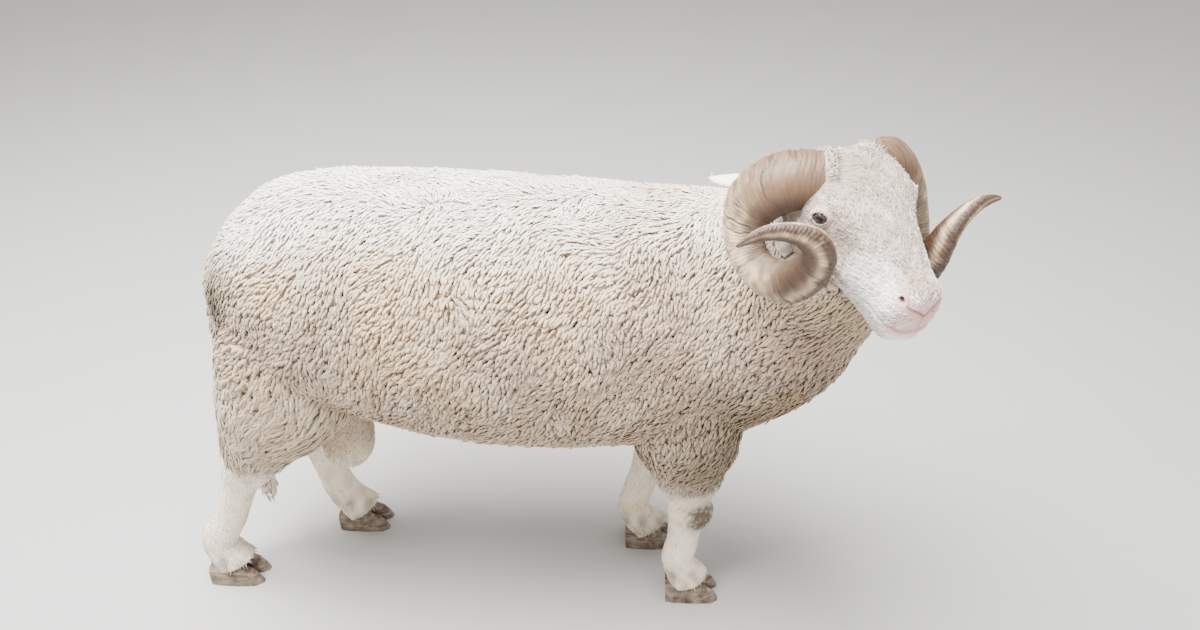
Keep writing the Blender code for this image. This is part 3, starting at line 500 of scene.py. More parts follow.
def markings(points):
    # colour of the animal at a place: cream above, beige on the flanks, white face, mud and stain,
    # with painted shade under the body, in the creases of the face and inside the nostrils
    body = points + middle
    x, _, z = body.T
    near, gap = headLocal(points), headGap(points)
    colour = np.tile(tints["cream"], (len(points), 1))

    def put(name, part):
        nonlocal colour
        colour = blended(colour, tints[name], part)

    flank = (1 - smooth(0.61, 0.84, z + 0.03 * ripple(points, 0.16, 3))) * smooth(-0.60, -0.34, x) * 0.90
    flank = np.maximum(flank, smooth(0.16, 0.40, x) * (1 - smooth(0.62, 0.84, z)) * 0.95)
    flank = np.maximum(flank, (1 - smooth(0.40, 0.64, z)) * 0.85)
    flank *= smooth(0.20, 0.34, z)
    put("beige", flank * (0.88 + 0.12 * ripple(points, 0.07, 5)))
    upper = smooth(0.46, 0.56, z) * (1 - smooth(0.69, 0.75, z)) * 0.75
    cloud = ripple(points, 0.20, 14)
    put("butter", upper * smooth(-0.3, 1.0, cloud))
    put("dusk", upper * smooth(-0.3, 1.0, -cloud))
    # painted shade mixed with real dust: darker under the chest and along the belly, where shade falls under
    # the body
    low = (smooth(0.20, 0.34, x) * (1 - smooth(0.46, 0.60, z))
           + (1 - smooth(0.36, 0.42, z)) * (1 - smooth(0.20, 0.26, np.abs(x))))
    put("dustAndShade", np.clip(low, 0, 1) * 0.78)
    back = smooth(0.70, 0.78, z - 0.25 * np.minimum(x + 0.2, 0)) * (1 - smooth(0.10, 0.40, x))
    put("white", np.maximum(back, smooth(0.71, 0.80, z)) * 0.85)
    # the head, from its grey patches to the pink of nose, lips, nostrils and lids, with painted shade
    # in its creases and inside the nostrils
    face = 1 - smooth(0.005, 0.013, gap)
    put("face", face)
    pale = (smooth(0.130, 0.185, near[:, 0] + 0.008 * ripple(points, 0.03, 7))
            * (1 - smooth(0.030, 0.052, near[:, 2] - 0.2 * near[:, 1])))
    put("muzzle", face * np.clip(pale + 0.25 * ripple(points, 0.018, 6), 0, 1))
    patch = (bellAt(near, (0.052, 0.0, 0.056), (0.034, 0.034, 0.03))
             + 0.8 * bellAt(near, (0.121, 0.052, 0.033), (0.018, 0.02, 0.014)))
    put("greyPatch", face * patch * (0.75 + 0.25 * ripple(points, 0.012, 8)))
    bridge = bellAt(near, (0.202, 0.0, 0.051), (0.017, 0.024, 0.02))
    put("tan", face * bridge * (0.60 + 0.20 * ripple(points, 0.008, 9)))
    nose = bellAt(near, (0.236, 0.0, 0.024), (0.014, 0.024, 0.017))
    mouthGap = nearLine(near, headShape["mouth"][:5])[0]
    slitGap, slitRun = nearLine(near, headShape["nostril"])
    # the walls of the nostril, sunk from its line, belong to it as well
    nostrilShadow = 1 - smooth(0.10, 0.22, slitRun)
    for depth in (0.004, 0.0075):
        sunk, sunkRun = nearLine(near - depth * nostrilWay, headShape["nostril"])
        slitGap = np.where(sunkRun < 0.25, np.minimum(slitGap, sunk), slitGap)
        nostrilShadow = np.maximum(nostrilShadow, (sunk < 0.0025) * (1 - smooth(0.10, 0.25, sunkRun)))
    cleftGap, tearGap = (nearLine(near, headShape[line])[0] for line in ("cleft", "tear"))
    eyeGap = np.linalg.norm(near - eyeCentre, axis=1)
    put("flush", face * np.clip(nose * 0.9 + halo(mouthGap, 0.007) * 0.9
                                + halo(slitGap, 0.007) * 0.8, 0, 0.95))
    put("pink", face * np.clip(nose * 0.35 + halo(mouthGap, 0.003) * 0.6
                               + halo(slitGap, 0.0032) * 0.8, 0, 0.85))
    put("flush", face * np.clip(1.1 - smooth(0.012, 0.017, eyeGap) + 0.8 * halo(tearGap, 0.003), 0, 0.8))
    # painted shade: a dark red line along the nostril slit, the mouth line, the cleft of the lip and the
    # crease below the eye
    put("creaseShade", face * np.clip(halo(slitGap, 0.0013) + 0.7 * halo(mouthGap, 0.0011)
                               + 0.7 * halo(cleftGap, 0.001) + 0.7 * halo(tearGap, 0.0008), 0, 0.9))
    # painted shadow: near black inside the nostril
    put("nostrilShadow", face * np.exp(-(slitGap / 0.0024) ** 4) * nostrilShadow)
    put("earPink", earInside(points) * 0.75)
    # the legs, with mud at the feet and on one knee, and the stain on the tail
    legs = (1 - smooth(0.23, 0.30, z)) * smooth(0.0, 0.03, gap)
    put("cream", legs)
    put("straw", (0.12 + smooth(0.4, 1.3, ripple(points, 0.045, 13)) * 0.35) * legs)
    dirt = (1 - smooth(0.03, 0.11, z)) * (0.45 + 0.35 * ripple(points, 0.03, 11))
    knee = bellAt(body, (0.328, -0.088, 0.206), (0.024, 0.040, 0.036))
    put("mud", np.clip(dirt, 0, 0.6) * legs + knee * (1.5 + 0.5 * ripple(points, 0.010, 12)))
    put("stain", bellAt(body, (-0.412, -0.132, 0.624), (0.024, 0.040, 0.048)) * 1.3)
    return colour


# horn forms
hornLook = {
    "steps": 760, "sides": 60, "flatness": 0.84, "keel": 0.10, "roughness": 0.50, "boss": 0.043,
    "tan": (0.145, 0.08, 0.038), "pale": (0.66, 0.49, 0.33), "base": (0.125, 0.07, 0.038),
    "brown": (0.06, 0.029, 0.015), "dark": (0.03, 0.017, 0.012), "crack": (0.038, 0.02, 0.013),
}


def hornForm(keys, hand):
    # rings along the coil; the half width follows the keys, with a keel on the outer edge,
    # growth rings as fine waves and deeper cracks; also gives how deep in a crack each place is
    rows = throughKeys(keys, np.linspace(0, len(keys) - 1, hornLook["steps"]))
    path = fromHead(rows, hand)
    hub = fromHead(throughKeys(keys, np.linspace(2.5, 11.0, 18)), hand).mean(0)
    way = unit(np.gradient(path, axis=0))
    outward = onSurface(path - hub, way)
    side = np.cross(way, outward)
    run = np.concatenate([[0], np.cumsum(np.linalg.norm(np.diff(path, axis=0), axis=1))])
    angle = np.linspace(0, 2 * np.pi, hornLook["sides"], endpoint=False)
    across, deep = np.cos(angle), np.sin(angle)
    rng = np.random.default_rng(17 if hand > 0 else 16)
    s = run[:, None] + (0.006 * across + 0.0018 * np.sin(2 * angle + 1) + 0.0008 * np.sin(5 * angle))
    ridge = (0.018 * np.sin(s / 0.0046 * 2 * np.pi + 2.2 * np.sin(s / 0.031))
             + 0.014 * np.sin(s / 0.0117 * 2 * np.pi + 3 * np.sin(s / 0.05)))
    ridge = ridge * (0.35 + 0.65 * smooth(-0.2, 0.9, across))
    crack = np.zeros_like(s)
    for place in np.concatenate([rng.uniform(0.02, run[-1] * 0.22, 8),
                                 rng.uniform(run[-1] * 0.22, run[-1] * 0.72, 17)]):
        wobble = (0.0020 * np.sin(angle * 3 + rng.uniform(0, 6))
                  + 0.0013 * np.sin(angle * 8 + rng.uniform(0, 6)))
        reach = smooth(-0.9, 0.3, np.cos(angle - rng.uniform(-1.2, 1.2)) - rng.uniform(0.0, 0.7))
        crack = np.maximum(crack, halo(s - place - wobble, 0.0013) * reach * rng.uniform(0.5, 1.0))
    base = halo(run, 0.012)[:, None] * 0.04
    keel = 1 + hornLook["keel"] * np.maximum(0, across) ** 2
    radius = np.maximum(rows[:, 3], 0.003)[:, None] * (1 + ridge + base - 0.060 * crack)
    grid = (path[:, None] + outward[:, None] * (radius * across * keel)[..., None]
            + side[:, None] * (radius * hornLook["flatness"] * deep)[..., None])
    return grid, run, path, way, crack, across


def bossForm(grid, run, path):
    # a collar of skin round the foot of a horn: the horn's own rings, widened, that thin to the
    # horn's surface at a rim which lies further out towards the eye than on top
    rows = run < hornLook["boss"]
    far = grid[rows] - path[rows][:, None]
    front = smooth(-0.5, 0.8, unit(far) @ unit(noseWay - upWay))
    part = (run[rows] / hornLook["boss"])[:, None] / (0.45 + 0.55 * front)
    grow = 1 + 0.07 * (1 - smooth(0.30, 0.92, part)) - 0.05 * smooth(0.92, 1.0, part)
    ring = path[rows][:, None] + far * grow[..., None]
    return ring, (ring[0].mean(0), ring[-1].mean(0))


# skin
limbLook = {   # steps, sides, squareness of the sections, upright or not
    "trunk": (110, 72, 2.3, False), "leg": (110, 44, 2.2, True), "tail": (60, 28, 2.1, True),
    "scrotum": (60, 48, 2.1, True),
}


def uniteAll(target, parts):
    # one closed surface round the target and the forms given
    group = bpy.data.collections.new("joined")
    others = [closedGrid(name, grid, *poles) for name, (grid, poles) in parts.items()]
    for other in others:
        group.objects.link(other)
    union = target.modifiers.new("union", "BOOLEAN")
    union.operation, union.solver = "UNION", "MANIFOLD"
    union.operand_type, union.collection = "COLLECTION", group
    bpy.context.view_layer.update()
    done = bpy.data.meshes.new_from_object(target.evaluated_get(bpy.context.evaluated_depsgraph_get()))
    target.modifiers.clear()
    target.data = done
    done.materials.clear()
    done.polygons.foreach_set("use_smooth", np.ones(len(done.polygons), bool))
    for other in others:
        bpy.data.objects.remove(other)
    bpy.data.collections.remove(group)
    return target


def treeOfSkin():
    # the skin as it is now, for finding the place on it nearest to another
    bpy.context.view_layer.update()
    return BVHTree.FromObject(skin, bpy.context.evaluated_depsgraph_get())


def headGap(p):
    # how far each place is from the bare head
    return np.array([headTree.find_nearest(Vector(q))[3] for q in p])


def woolInset(lowest):
    # full depth of coat above the wool line of a leg, bare below it
    return lambda rows: coatDepth * smooth(lowest - 0.02, lowest + 0.05, rows[:, 2:3])


headWorld = poll + headForm() @ headTurn
headPoles = (headWorld[0].mean(0), headWorld[-1].mean(0) + noseWay * 0.0004)
hornForms = {word: hornForm(hornKeys[word], hand) for word, hand in hands}
bosses = {"boss" + word.capitalize(): bossForm(*hornForms[word][:3]) for word in hornForms}
skin = uniteAll(closedGrid("skin", headWorld, *headPoles), bosses)
headTree = treeOfSkin()

# grids that coat can grow from, each with the depth taken off its keys and its domes
forms = {"trunk": limbForm(trunkKeys, *limbLook["trunk"], coatDepth, (0.012, 0.02))}
for legName, keys in legKeys.items():
    forms[legName] = limbForm(keys, *limbLook["leg"], woolInset(woolLine[legName[:4]]), (0.02, 0.004))
for word, hand in hands:
    forms["ear" + word.capitalize()] = earForm(hand)
forms["tail"] = limbForm(tailKeys, *limbLook["tail"], 0.006, (0.01, 0.012))
forms["scrotum"] = limbForm(scrotumKeys, *limbLook["scrotum"], 0.003, (0.01, 0.009))
skin = uniteAll(skin, forms)
forms.update({"head": (headWorld, headPoles), **bosses})
layColour(skin, markings(pointsOf(skin)))
print("skin made,", len(skin.data.polygons), "faces")


# materials
def newMaterial(name, roughness):
    # a material, a function that adds a node and gives its output, and one that sets the shader
    material = bpy.data.materials.new(name)
    material.use_nodes = True
    nodes, links = material.node_tree.nodes, material.node_tree.links

    def fill(node, values):
        # sockets are linked, settings are set, and anything else is a constant of an input
        for key, value in values.items():
            place = key.replace("_", " ")
            if key == "both":
                links.new(value[0], node.inputs[0])
                links.new(value[1], node.inputs[1])
            elif isinstance(value, bpy.types.NodeSocket):
                links.new(value, node.inputs[place])
            elif hasattr(node, key):
                setattr(node, key, value)
            else:
                node.inputs[place].default_value = value

    def add(kind, output, **values):
        node = nodes.new("ShaderNode" + kind)
        fill(node, values)
        return node.outputs[output]

    def give(**values):
        fill(nodes["Principled BSDF"], values)

    give(Roughness=roughness)
    return material, add, give


def shaded(add, colour, noise, low, high, **span):
    # colour times a factor from low to high, as the noise goes through its span
    factor = add("MapRange", "Result", To_Min=low, To_Max=high, Value=noise, **span)
    return add("VectorMath", "Vector", operation="SCALE", Vector=colour, Scale=factor)


def hairMaterial(name, roughness, bumpScale, strength, sheen):
    # the tint, shaded and raised by one fine noise, with a soft sheen
    material, add, give = newMaterial(name, roughness)
    fine = add("TexNoise", "Fac", Scale=bumpScale, Detail=5.0, Roughness=0.65,
               Vector=add("TexCoord", "Object"))
    tint = add("VertexColor", "Color", layer_name="tint")
    give(Base_Color=shaded(add, tint, fine, 0.86, 1.08, From_Min=0.3, From_Max=0.7),
         Normal=add("Bump", "Normal", Strength=strength, Distance=0.0015, Height=fine),
         Sheen_Weight=sheen, Sheen_Roughness=0.5, Specular_IOR_Level=0.25)
    return material


fleeceMaterial = hairMaterial("fleece", 0.95, 420.0, 0.60, 0.25)
hairShort = hairMaterial("shortHair", 0.80, 520.0, 0.80, 0.20)
skin.data.materials.append(hairShort)


# fleece
fleeceLook = {
    "pitch": 0.010,         # least gap between staples on the barrel
    "widest": 0.0135,       # half width that no staple passes
    "rings": (0.0, 0.86), "sides": 6,
    "squeeze": (1.0, 1.0, 0.62),   # staples are longer down the side than across it
    "under": 0.85,          # height of the felted staples, as a part of the whole coat
    # painted shade at the roots of the staples, as a part of the tint
    "paintedRootShade": 0.74}
# the locks and the hair looks below also carry painted shade at their roots
lockLook = {"pitch": 0.0045, "rings": (0.0, 0.40, 0.75), "sides": 4, "start": 0.86, "draw": 0.22,
            "paintedRootShade": 0.86}
hairLook = {"rings": (0.0, 0.45), "sides": 4, "widest": 0.0017, "paintedRootShade": 0.66}
hairSoft = {**hairLook, "paintedRootShade": 0.80}
tuftLook = {
    "patch": 0.003,         # width of one tuft's place on the map of its piece
    "sunk": 0.002,          # how far a root goes into the skin
    "swing": 0.16,          # spread of how far tufts turn aside, as a part of their reach
    # painted light at a tuft's tip, the top end of its painted root shade
    "waves": 7.0, "paintedTipLight": 1.02}
skinTree = treeOfSkin()
coatPieces = []


def cellReach(root, normal, lie, sides, most):
    # half way to the neighbours in each of the directions round a tuft: the outline of its cell
    near = treeOf(root)
    close = np.array([[hit[1] for hit in near.find_n(q, 13)] for q in root])[:, 1:]
    side = unit(np.cross(normal, lie))
    gap = root[close] - root[:, None]
    gap -= normal[:, None] * (gap * normal[:, None]).sum(-1, keepdims=True)
    flat = np.stack([(gap * lie[:, None]).sum(-1), (gap * side[:, None]).sum(-1)], -1)
    angle = np.arange(sides) * 2 * np.pi / sides
    facing = np.maximum(flat @ np.stack([np.cos(angle), np.sin(angle)]), 1e-6)
    reach = (flat ** 2).sum(-1)[..., None] / 2 / facing
    return np.minimum(reach.min(1), most)


def growTufts(name, root, normal, lie, unwrap, sizes, look, seed, material):
    # each tuft is a closed, bent tube: root + normal*rise*sin(s) + lie*reach*s^1.5 + a side wave;
    # its outline is the tuft's cell, closed to the tip as (1 - s^blunt)^0.5
    rng = np.random.default_rng(seed)
    count, rows, sides = len(root), len(look["rings"]), look["sides"]
    s = np.append(look["rings"], 1.0)
    rise, reach, blunt, wave, curl = (sizes[k][:, None] for k in ("rise", "reach", "blunt", "wave", "curl"))
    side = unit(np.cross(normal, lie))
    phase = sizes["phase"][:, None] if "phase" in sizes else rng.uniform(0, 2 * np.pi, (count, 1))
    turn = rng.normal(0, tuftLook["swing"], (count, 1))
    up = rise * np.sin(s * np.pi / 2) ** 0.85 - reach * curl * s ** 4
    ahead = reach * s ** 1.5
    sway = wave * np.sin(s * tuftLook["waves"] + phase) * s + reach * turn * s
    centre = (root[:, None] + normal[:, None] * up[..., None] + lie[:, None] * ahead[..., None]
              + side[:, None] * sway[..., None])
    if "draw" in sizes:
        centre = centre + sizes["draw"][:, None] * (s ** 1.3)[None, :, None]
    way = unit(np.gradient(centre, axis=1))
    cross = onSurface(side[:, None], way)
    other = np.cross(cross, way)
    angle = np.arange(sides) * 2 * np.pi / sides
    swell = (0.80 + 0.26 * s) * np.clip(1 - s ** blunt, 0, 1) ** 0.5
    rough = 1 + sizes["rough"] * rng.normal(0, 1, (count, len(s), sides)) * (0.3 + 0.7 * s)[None, :, None]
    radius = sizes["cell"][:, None] * swell[:, :, None] * rough
    ring = (centre[:, :, None] + other[:, :, None] * (radius * np.cos(angle))[..., None]
            + cross[:, :, None] * (radius * np.sin(angle))[..., None])
    points = np.concatenate([ring[:, :-1].reshape(count, -1, 3), centre[:, -1:]], 1)
    here, after, quad = ringQuads(rows, sides)
    per = rows * sides + 1
    tip = np.stack([here[-1], after[-1], np.full(sides, per - 1)], -1)
    base = here[0][::-1][None]
    shift = (np.arange(count) * per)[:, None, None]
    made = makeMesh(name, points.reshape(-1, 3),
                    *((part + shift).reshape(-1, part.shape[1]) for part in (quad, tip, base)))
    # two maps: where the tuft stands on the unwrapped skin, and its own around and along
    around, alongIt = np.tile(np.arange(sides) / sides, rows), np.repeat(s[:-1], sides)
    quadUv = np.stack([around[quad], alongIt[quad]], -1)
    quadUv[quad[:, 1] % sides == 0, 1:3, 0] = 1.0
    tipUv = np.stack([around[tip[:, (0, 1, 0)]], np.append(alongIt, 1.0)[tip]], -1)
    tipUv[tipUv[:, 1, 0] == 0, 1, 0] = 1.0
    baseUv = np.stack([around[base[0]], np.zeros(sides)], -1)
    own = [np.tile(part.reshape(1, -1, 2), (count, 1, 1)) for part in (quadUv, tipUv, baseUv)]
    layUv(made, "OFBake", np.concatenate([(unwrap[:, None] + (part - 0.5) * tuftLook["patch"]).reshape(-1, 2)
                                          for part in own]))
    layUv(made, "Strand", np.concatenate([part.reshape(-1, 2) for part in own]))
    # painted shade: each tuft darkens from tip to root, where shade falls among the tufts, up to a little
    # painted light at the tip; the roots are also a little warmer, as with lanolin
    tone = sizes["tone"][:, None, None]
    depth = np.append(alongIt, 1.0)
    shade = look["paintedRootShade"] + (tuftLook["paintedTipLight"] - look["paintedRootShade"]) * depth ** 0.9
    colour = markings(root)[:, None] * shade[None, :, None] * tone
    colour[..., 2] *= (0.95 + 0.05 * depth)[None]
    layColour(made, np.clip(colour, 0, 0.95).reshape(-1, 3))
    made.data.materials.append(material)
    return faceOut(made)


def growPieces(name, kind, root, normal, lie, unwrap, sizes, pieces, look, seed, material):
    # tufts in pieces of like number, split along the form, each with a map of its own
    order = np.argsort(unwrap[:, 0], kind="stable")
    for k, chosen in enumerate(np.array_split(order, pieces)):
        part = unwrap[chosen].copy()
        part[:, 0] = (part[:, 0] - part[:, 0].min()) / max(np.ptp(part[:, 0]), 1e-6)
        mine = {key: value[chosen] if isinstance(value, np.ndarray) else value
                for key, value in sizes.items()}
        coatPieces.append(growTufts("%s_%d" % (name, k + 1), root[chosen], normal[chosen], lie[chosen],
                                    0.01 + part * 0.98, mine, look, seed + 10 + k, material))
    print(name, len(root), kind, "in", pieces, "pieces")


def thinned(p, spacing):
    # keeps each place that no kept place before it is nearer to than its spacing
    near = treeOf(p)
    alive = np.ones(len(p), bool)
    for k in range(len(p)):
        if alive[k]:
            for _, other, _ in near.find_range(p[k], spacing[k]):
                if other > k:
                    alive[other] = False
    return alive


def sowForm(grid, pitch, seed, allowed, count, squeeze=(1.0, 1.0, 1.0)):
    # seeded places on a grid surface, thinned until none is nearer than its pitch; gives the
    # place, its normal and its unwrap (along, around)
    rng = np.random.default_rng(seed)
    rows, sides = grid.shape[:2]
    closed = np.concatenate([grid, grid[:, :1]], 1)
    a, b, c = closed[:-1, :-1], closed[1:, :-1], closed[:-1, 1:]
    area = np.linalg.norm(np.cross(b - a, c - a), axis=-1).reshape(-1)
    cell = rng.choice(len(area), count, p=area / area.sum())
    i, j = cell // sides, cell % sides
    u, v = rng.random(count), rng.random(count)
    p = ((closed[i, j] * (1 - v)[:, None] + closed[i, j + 1] * v[:, None]) * (1 - u)[:, None]
         + (closed[i + 1, j] * (1 - v)[:, None] + closed[i + 1, j + 1] * v[:, None]) * u[:, None])
    unwrap = np.stack([(i + u) / (rows - 1), (j + v) / sides], -1)
    keep = allowed(p)
    p, unwrap = p[keep], unwrap[keep]
    found = [skinTree.find_nearest(Vector(q), 0.004) for q in p]
    out = np.array([hit[0] is not None and hit[3] < 0.0012 for hit in found])
    normal = np.array([tuple(hit[1]) if hit[0] is not None else (0, 0, 1) for hit in found])[out]
    p, unwrap = p[out], unwrap[out]
    widest = 1.40 if squeeze[2] < 1 else 1.10
    spacing = (pitch(p) if callable(pitch) else pitch) * rng.uniform(0.80, widest, len(p))
    alive = thinned(p * np.array(squeeze), spacing)
    return p[alive], normal[alive], unwrap[alive]


def lieOf(p, normal):
    # fleece hangs back and down the sides, and parts along the back
    body = p + middle
    flow = np.stack([np.full(len(p), -0.55), body[:, 1] * 3.0, np.full(len(p), -1.0)], -1)
    return onSurface(flow + 0.35 * ripples(p, (0.11, 0.13, 0.12), 21), normal)


def looseness(p):
    # 0 where staples stand felted side by side, 1 where they hang as pointed locks
    x, _, z = (p + middle).T
    hem = (1 - smooth(0.385, 0.47, z)) * (1 - smooth(0.04, 0.20, x))
    hind = (1 - smooth(-0.32, -0.16, x)) * (1 - smooth(0.42, 0.62, z)) * 0.85
    return np.clip(np.maximum(hem * 0.9, hind), 0, 1)


def coatRise(p):
    # height of the whole coat over the skin: short by the head, uneven in soft lumps
    short = 0.42 + 0.58 * smooth(0.004, 0.055, headGap(p))
    x, _, z = (p + middle).T
    line = np.where(x > 0, woolLine["fore"], woolLine["hind"])
    short = short * (0.30 + 0.70 * smooth(-0.005, 0.070, z - line))
    short = short * (1 - 0.22 * smooth(0.36, 0.44, -x) * smooth(0.50, 0.62, z))
    lump = 1 + 0.07 * ripple(p, 0.10, 31)
    return (coatDepth + coatTop) * lump * (1 - 0.20 * looseness(p)) * short


def stapleSizes(p, seed):
    # stout blunt staples, longer and more pointed where they hang loose
    rng = np.random.default_rng(seed)
    loose = looseness(p)
    return {
        "rise": coatRise(p) * fleeceLook["under"] * (1 + 0.05 * rng.normal(0, 1, len(p))),
        "reach": 0.006 * rng.uniform(0.6, 1.4, len(p)) + 0.006 * loose,
        "blunt": 9.0 - 5.0 * loose,
        "wave": 0.0006 * rng.uniform(0.5, 1.5, len(p)),
        "curl": 0.10 + 0.10 * rng.random(len(p)),
        "tone": 1 + 0.05 * rng.normal(0, 1, len(p)),
        "full": 1.34, "rough": 0.06,
    }


def capital(word):
    # the word with a large first letter, for names
    return word[0].upper() + word[1:]


def tuftsOn(kind, formName, pitch, allowed, sizesOf, pieces, seed, count, look, lieAt, material):
    # tufts sown on a form, each as wide as its cell among its neighbours' tops
    squeeze = look.get("squeeze", (1.0, 1.0, 1.0))
    p, normal, unwrap = sowForm(forms[formName][0], pitch, seed, allowed, count, squeeze)
    lie = lieAt(p, normal)
    sizes = sizesOf(p, seed + 1)
    tops = p + normal * (sizes["rise"] * 0.95)[:, None] + lie * (sizes["reach"] * 0.8)[:, None]
    sizes["cell"] = cellReach(tops, normal, lie, look["sides"], look["widest"]) * sizes["full"]
    growPieces(kind + capital(formName), "tufts", p - normal * tuftLook["sunk"], normal, lie, unwrap,
               sizes, pieces, look, seed, material)
    return p, lie


def staplePitch(p):
    # finer on the back and towards the head
    return (fleeceLook["pitch"] * (1 - 0.22 * smooth(0.66, 0.74, p[:, 2]))
            * (0.66 + 0.34 * smooth(0.0, 0.10, headGap(p))))


def lockPitch(p):
    # as for staples, and a little wider where the coat is loose
    return (lockLook["pitch"] * (1 - 0.16 * smooth(0.66, 0.74, p[:, 2]))
            * (0.72 + 0.28 * smooth(0.0, 0.08, headGap(p))) * (1 + 0.12 * looseness(p)))


def locksOn(formName, allowed, staples, stapleLie, pieces, seed, count):
    # thin flat locks over the felted staples; each leans to its own staple's middle, and those
    # by a border between staples stand lower, with painted shade, which leaves the cracks
    p, normal, unwrap = sowForm(forms[formName][0], lockPitch, seed, allowed, count)
    lie = lieOf(p, normal)
    rng = np.random.default_rng(seed + 1)
    squeeze = np.array(fleeceLook["squeeze"])
    near = treeOf(staples * squeeze)
    mine, beside = np.array([[hit[1] for hit in near.find_n(q, 2)] for q in p * squeeze]).T
    own = staples[mine]
    across = staples[beside] - own
    border = (0.5 * (across ** 2).sum(-1) - ((p - own) * across).sum(-1)) / np.linalg.norm(across, axis=-1)
    loose = looseness(p)
    back = smooth(0.62, 0.74, p[:, 2]) * (1 - loose)
    crack = halo(np.maximum(border, 0), 0.0020) * (0.35 + 0.65 * smooth(-0.5, 0.9, ripple(p, 0.09, 33)))
    crack = crack * (1 - 0.85 * back) * (1 - 0.45 * smooth(0.50, 0.64, p[:, 2]))
    full = coatRise(p)
    start = full * lockLook["start"]
    draw = own - p
    draw = draw - normal * (draw * normal).sum(-1, keepdims=True)
    stretch = rng.uniform(0.6, 1.4, len(staples))
    phase = rng.uniform(0, 2 * np.pi, len(staples))
    lie = unit(lie * (1 - 0.7 * loose)[:, None] + stapleLie[mine] * (0.7 * loose)[:, None])
    pull = lockLook["draw"] * (1 - 0.6 * smooth(0.50, 0.66, p[:, 2])) + 0.45 * loose
    wide = (0.0030 - 0.0008 * back + 0.0008 * loose) * rng.uniform(0.75, 1.25, len(p))
    flat = wide * 0.42
    sizes = {
        "rise": (full - start) * (1 + 0.07 * rng.normal(0, 1, len(p))) * (1 - 0.90 * crack),
        "reach": (0.0150 + 0.002 * back + 0.022 * loose * stretch[mine]) * rng.uniform(0.75, 1.25, len(p)),
        "phase": phase[mine],
        "blunt": 2.4 - 0.7 * loose + rng.uniform(-0.4, 0.4, len(p)),
        "wave": (0.0008 + 0.0034 * loose) * rng.uniform(0.8, 1.2, len(p)),
        "curl": 0.12 + 0.20 * rng.random(len(p)),
        # painted shade: locks by a border between staples are darker, in the cracks where shade falls
        "tone": (1 + 0.035 * rng.normal(0, 1, len(p))) * (1 - 0.40 * crack),
        "rough": 0.10,
        "draw": draw * pull[:, None] + 0.0015 * rng.normal(0, 1, (len(p), 3)),
        "cell": np.stack([flat, wide, flat, wide], -1),
    }
    growPieces("locks" + capital(formName), "locks", p + normal * start[:, None], normal, lie, unwrap, sizes,
               pieces, lockLook, seed, fleeceMaterial)


def between(lowest, highest=9.0):
    # heights at which a coat grows
    return lambda p: (p[:, 2] > lowest) & (p[:, 2] < highest)


def offHead(p):
    # outside the head and a margin round it
    margin = 0.004
    near = headLocal(p)
    half = np.interp(near[:, 0], headKeys[:, 0], headKeys[:, 1])
    return ~((near[:, 0] > 0.004) & (near[:, 1] < half + margin)
             & (near[:, 2] > -0.092 - margin) & (near[:, 2] < 0.062 + margin))


def coatOn(formName, pitch, stapleAt, lockAt, pieces, seeds, counts):
    # staples on a form, then locks over them; pieces, seeds and counts are for each of the two
    staples = tuftsOn("fleece", formName, pitch, stapleAt, stapleSizes, pieces[0], seeds[0], counts[0],
                      fleeceLook, lieOf, fleeceMaterial)
    locksOn(formName, lockAt, *staples, pieces[1], seeds[1], counts[1])


limbPitch = fleeceLook["pitch"] * 0.9
coatOn("trunk", staplePitch, offHead, offHead, (4, 7), (100, 400), (90000, 300000))
for number, legName in enumerate(legKeys):
    wool = woolLine[legName[:4]]
    coatOn(legName, limbPitch, between(wool + 0.004), between(wool), (1, 1),
           (200 + 20 * number, 420 + 20 * number), (16000, 40000))
coatOn("tail", limbPitch, between(0.1), between(0.1), (1, 1), (300, 520), (8000, 16000))


# short hair
def hairSizes(long, high, thick, vary=0.20):
    # sizes of flat-lying hair tufts of a given length, lift and half width
    def sizesOf(p, seed):
        rng = np.random.default_rng(seed)
        count = len(p)
        return {
            "rise": high * rng.uniform(0.6, 1.5, count), "reach": long * rng.uniform(0.7, 1.3, count),
            "blunt": np.full(count, 1.6), "wave": rng.uniform(0, 0.0006, count),
            "curl": np.full(count, 0.05), "tone": 1.06 + vary * rng.normal(0, 1, count),
            "rough": 0.05, "full": thick,
        }
    return sizesOf


def faceLie(p, normal):
    # hair of the head runs from the muzzle back to the poll and down the cheeks
    return onSurface(-noseWay - 0.35 * upWay + 0.30 * ripples(p, (0.05, 0.06, 0.05), 51), normal)


def downLie(p, normal):
    # straight down, a little ruffled
    return onSurface(np.array((0, 0, -1.0)) + 0.30 * ripples(p, (0.04, 0.05, 0.05), 54), normal)


def hairyFace(p):
    # everywhere on the head but the pink of the muzzle, the lips and the eyes
    near = headLocal(p)
    eye = np.linalg.norm(near - (eyeCentre + np.array((0.004, 0, 0.001))), axis=1) > 0.0158
    lips = nearLine(near, headShape["mouth"][:4])[0] > 0.006
    nostril = nearLine(near, headShape["nostril"])[0] > 0.006
    return eye & lips & nostril & (near[:, 0] < 0.236) & (near[:, 0] > 0.012)


hornFoot = metres(((48, 30, 24), (29, 78, 4)))   # the middle of the horn where it leaves the head


def rimOf(near, width):
    # 1 at the foot of the horn, fading with the distance from its surface
    return halo(np.maximum(nearLine(near, hornFoot)[0] - 0.034, 0), width)


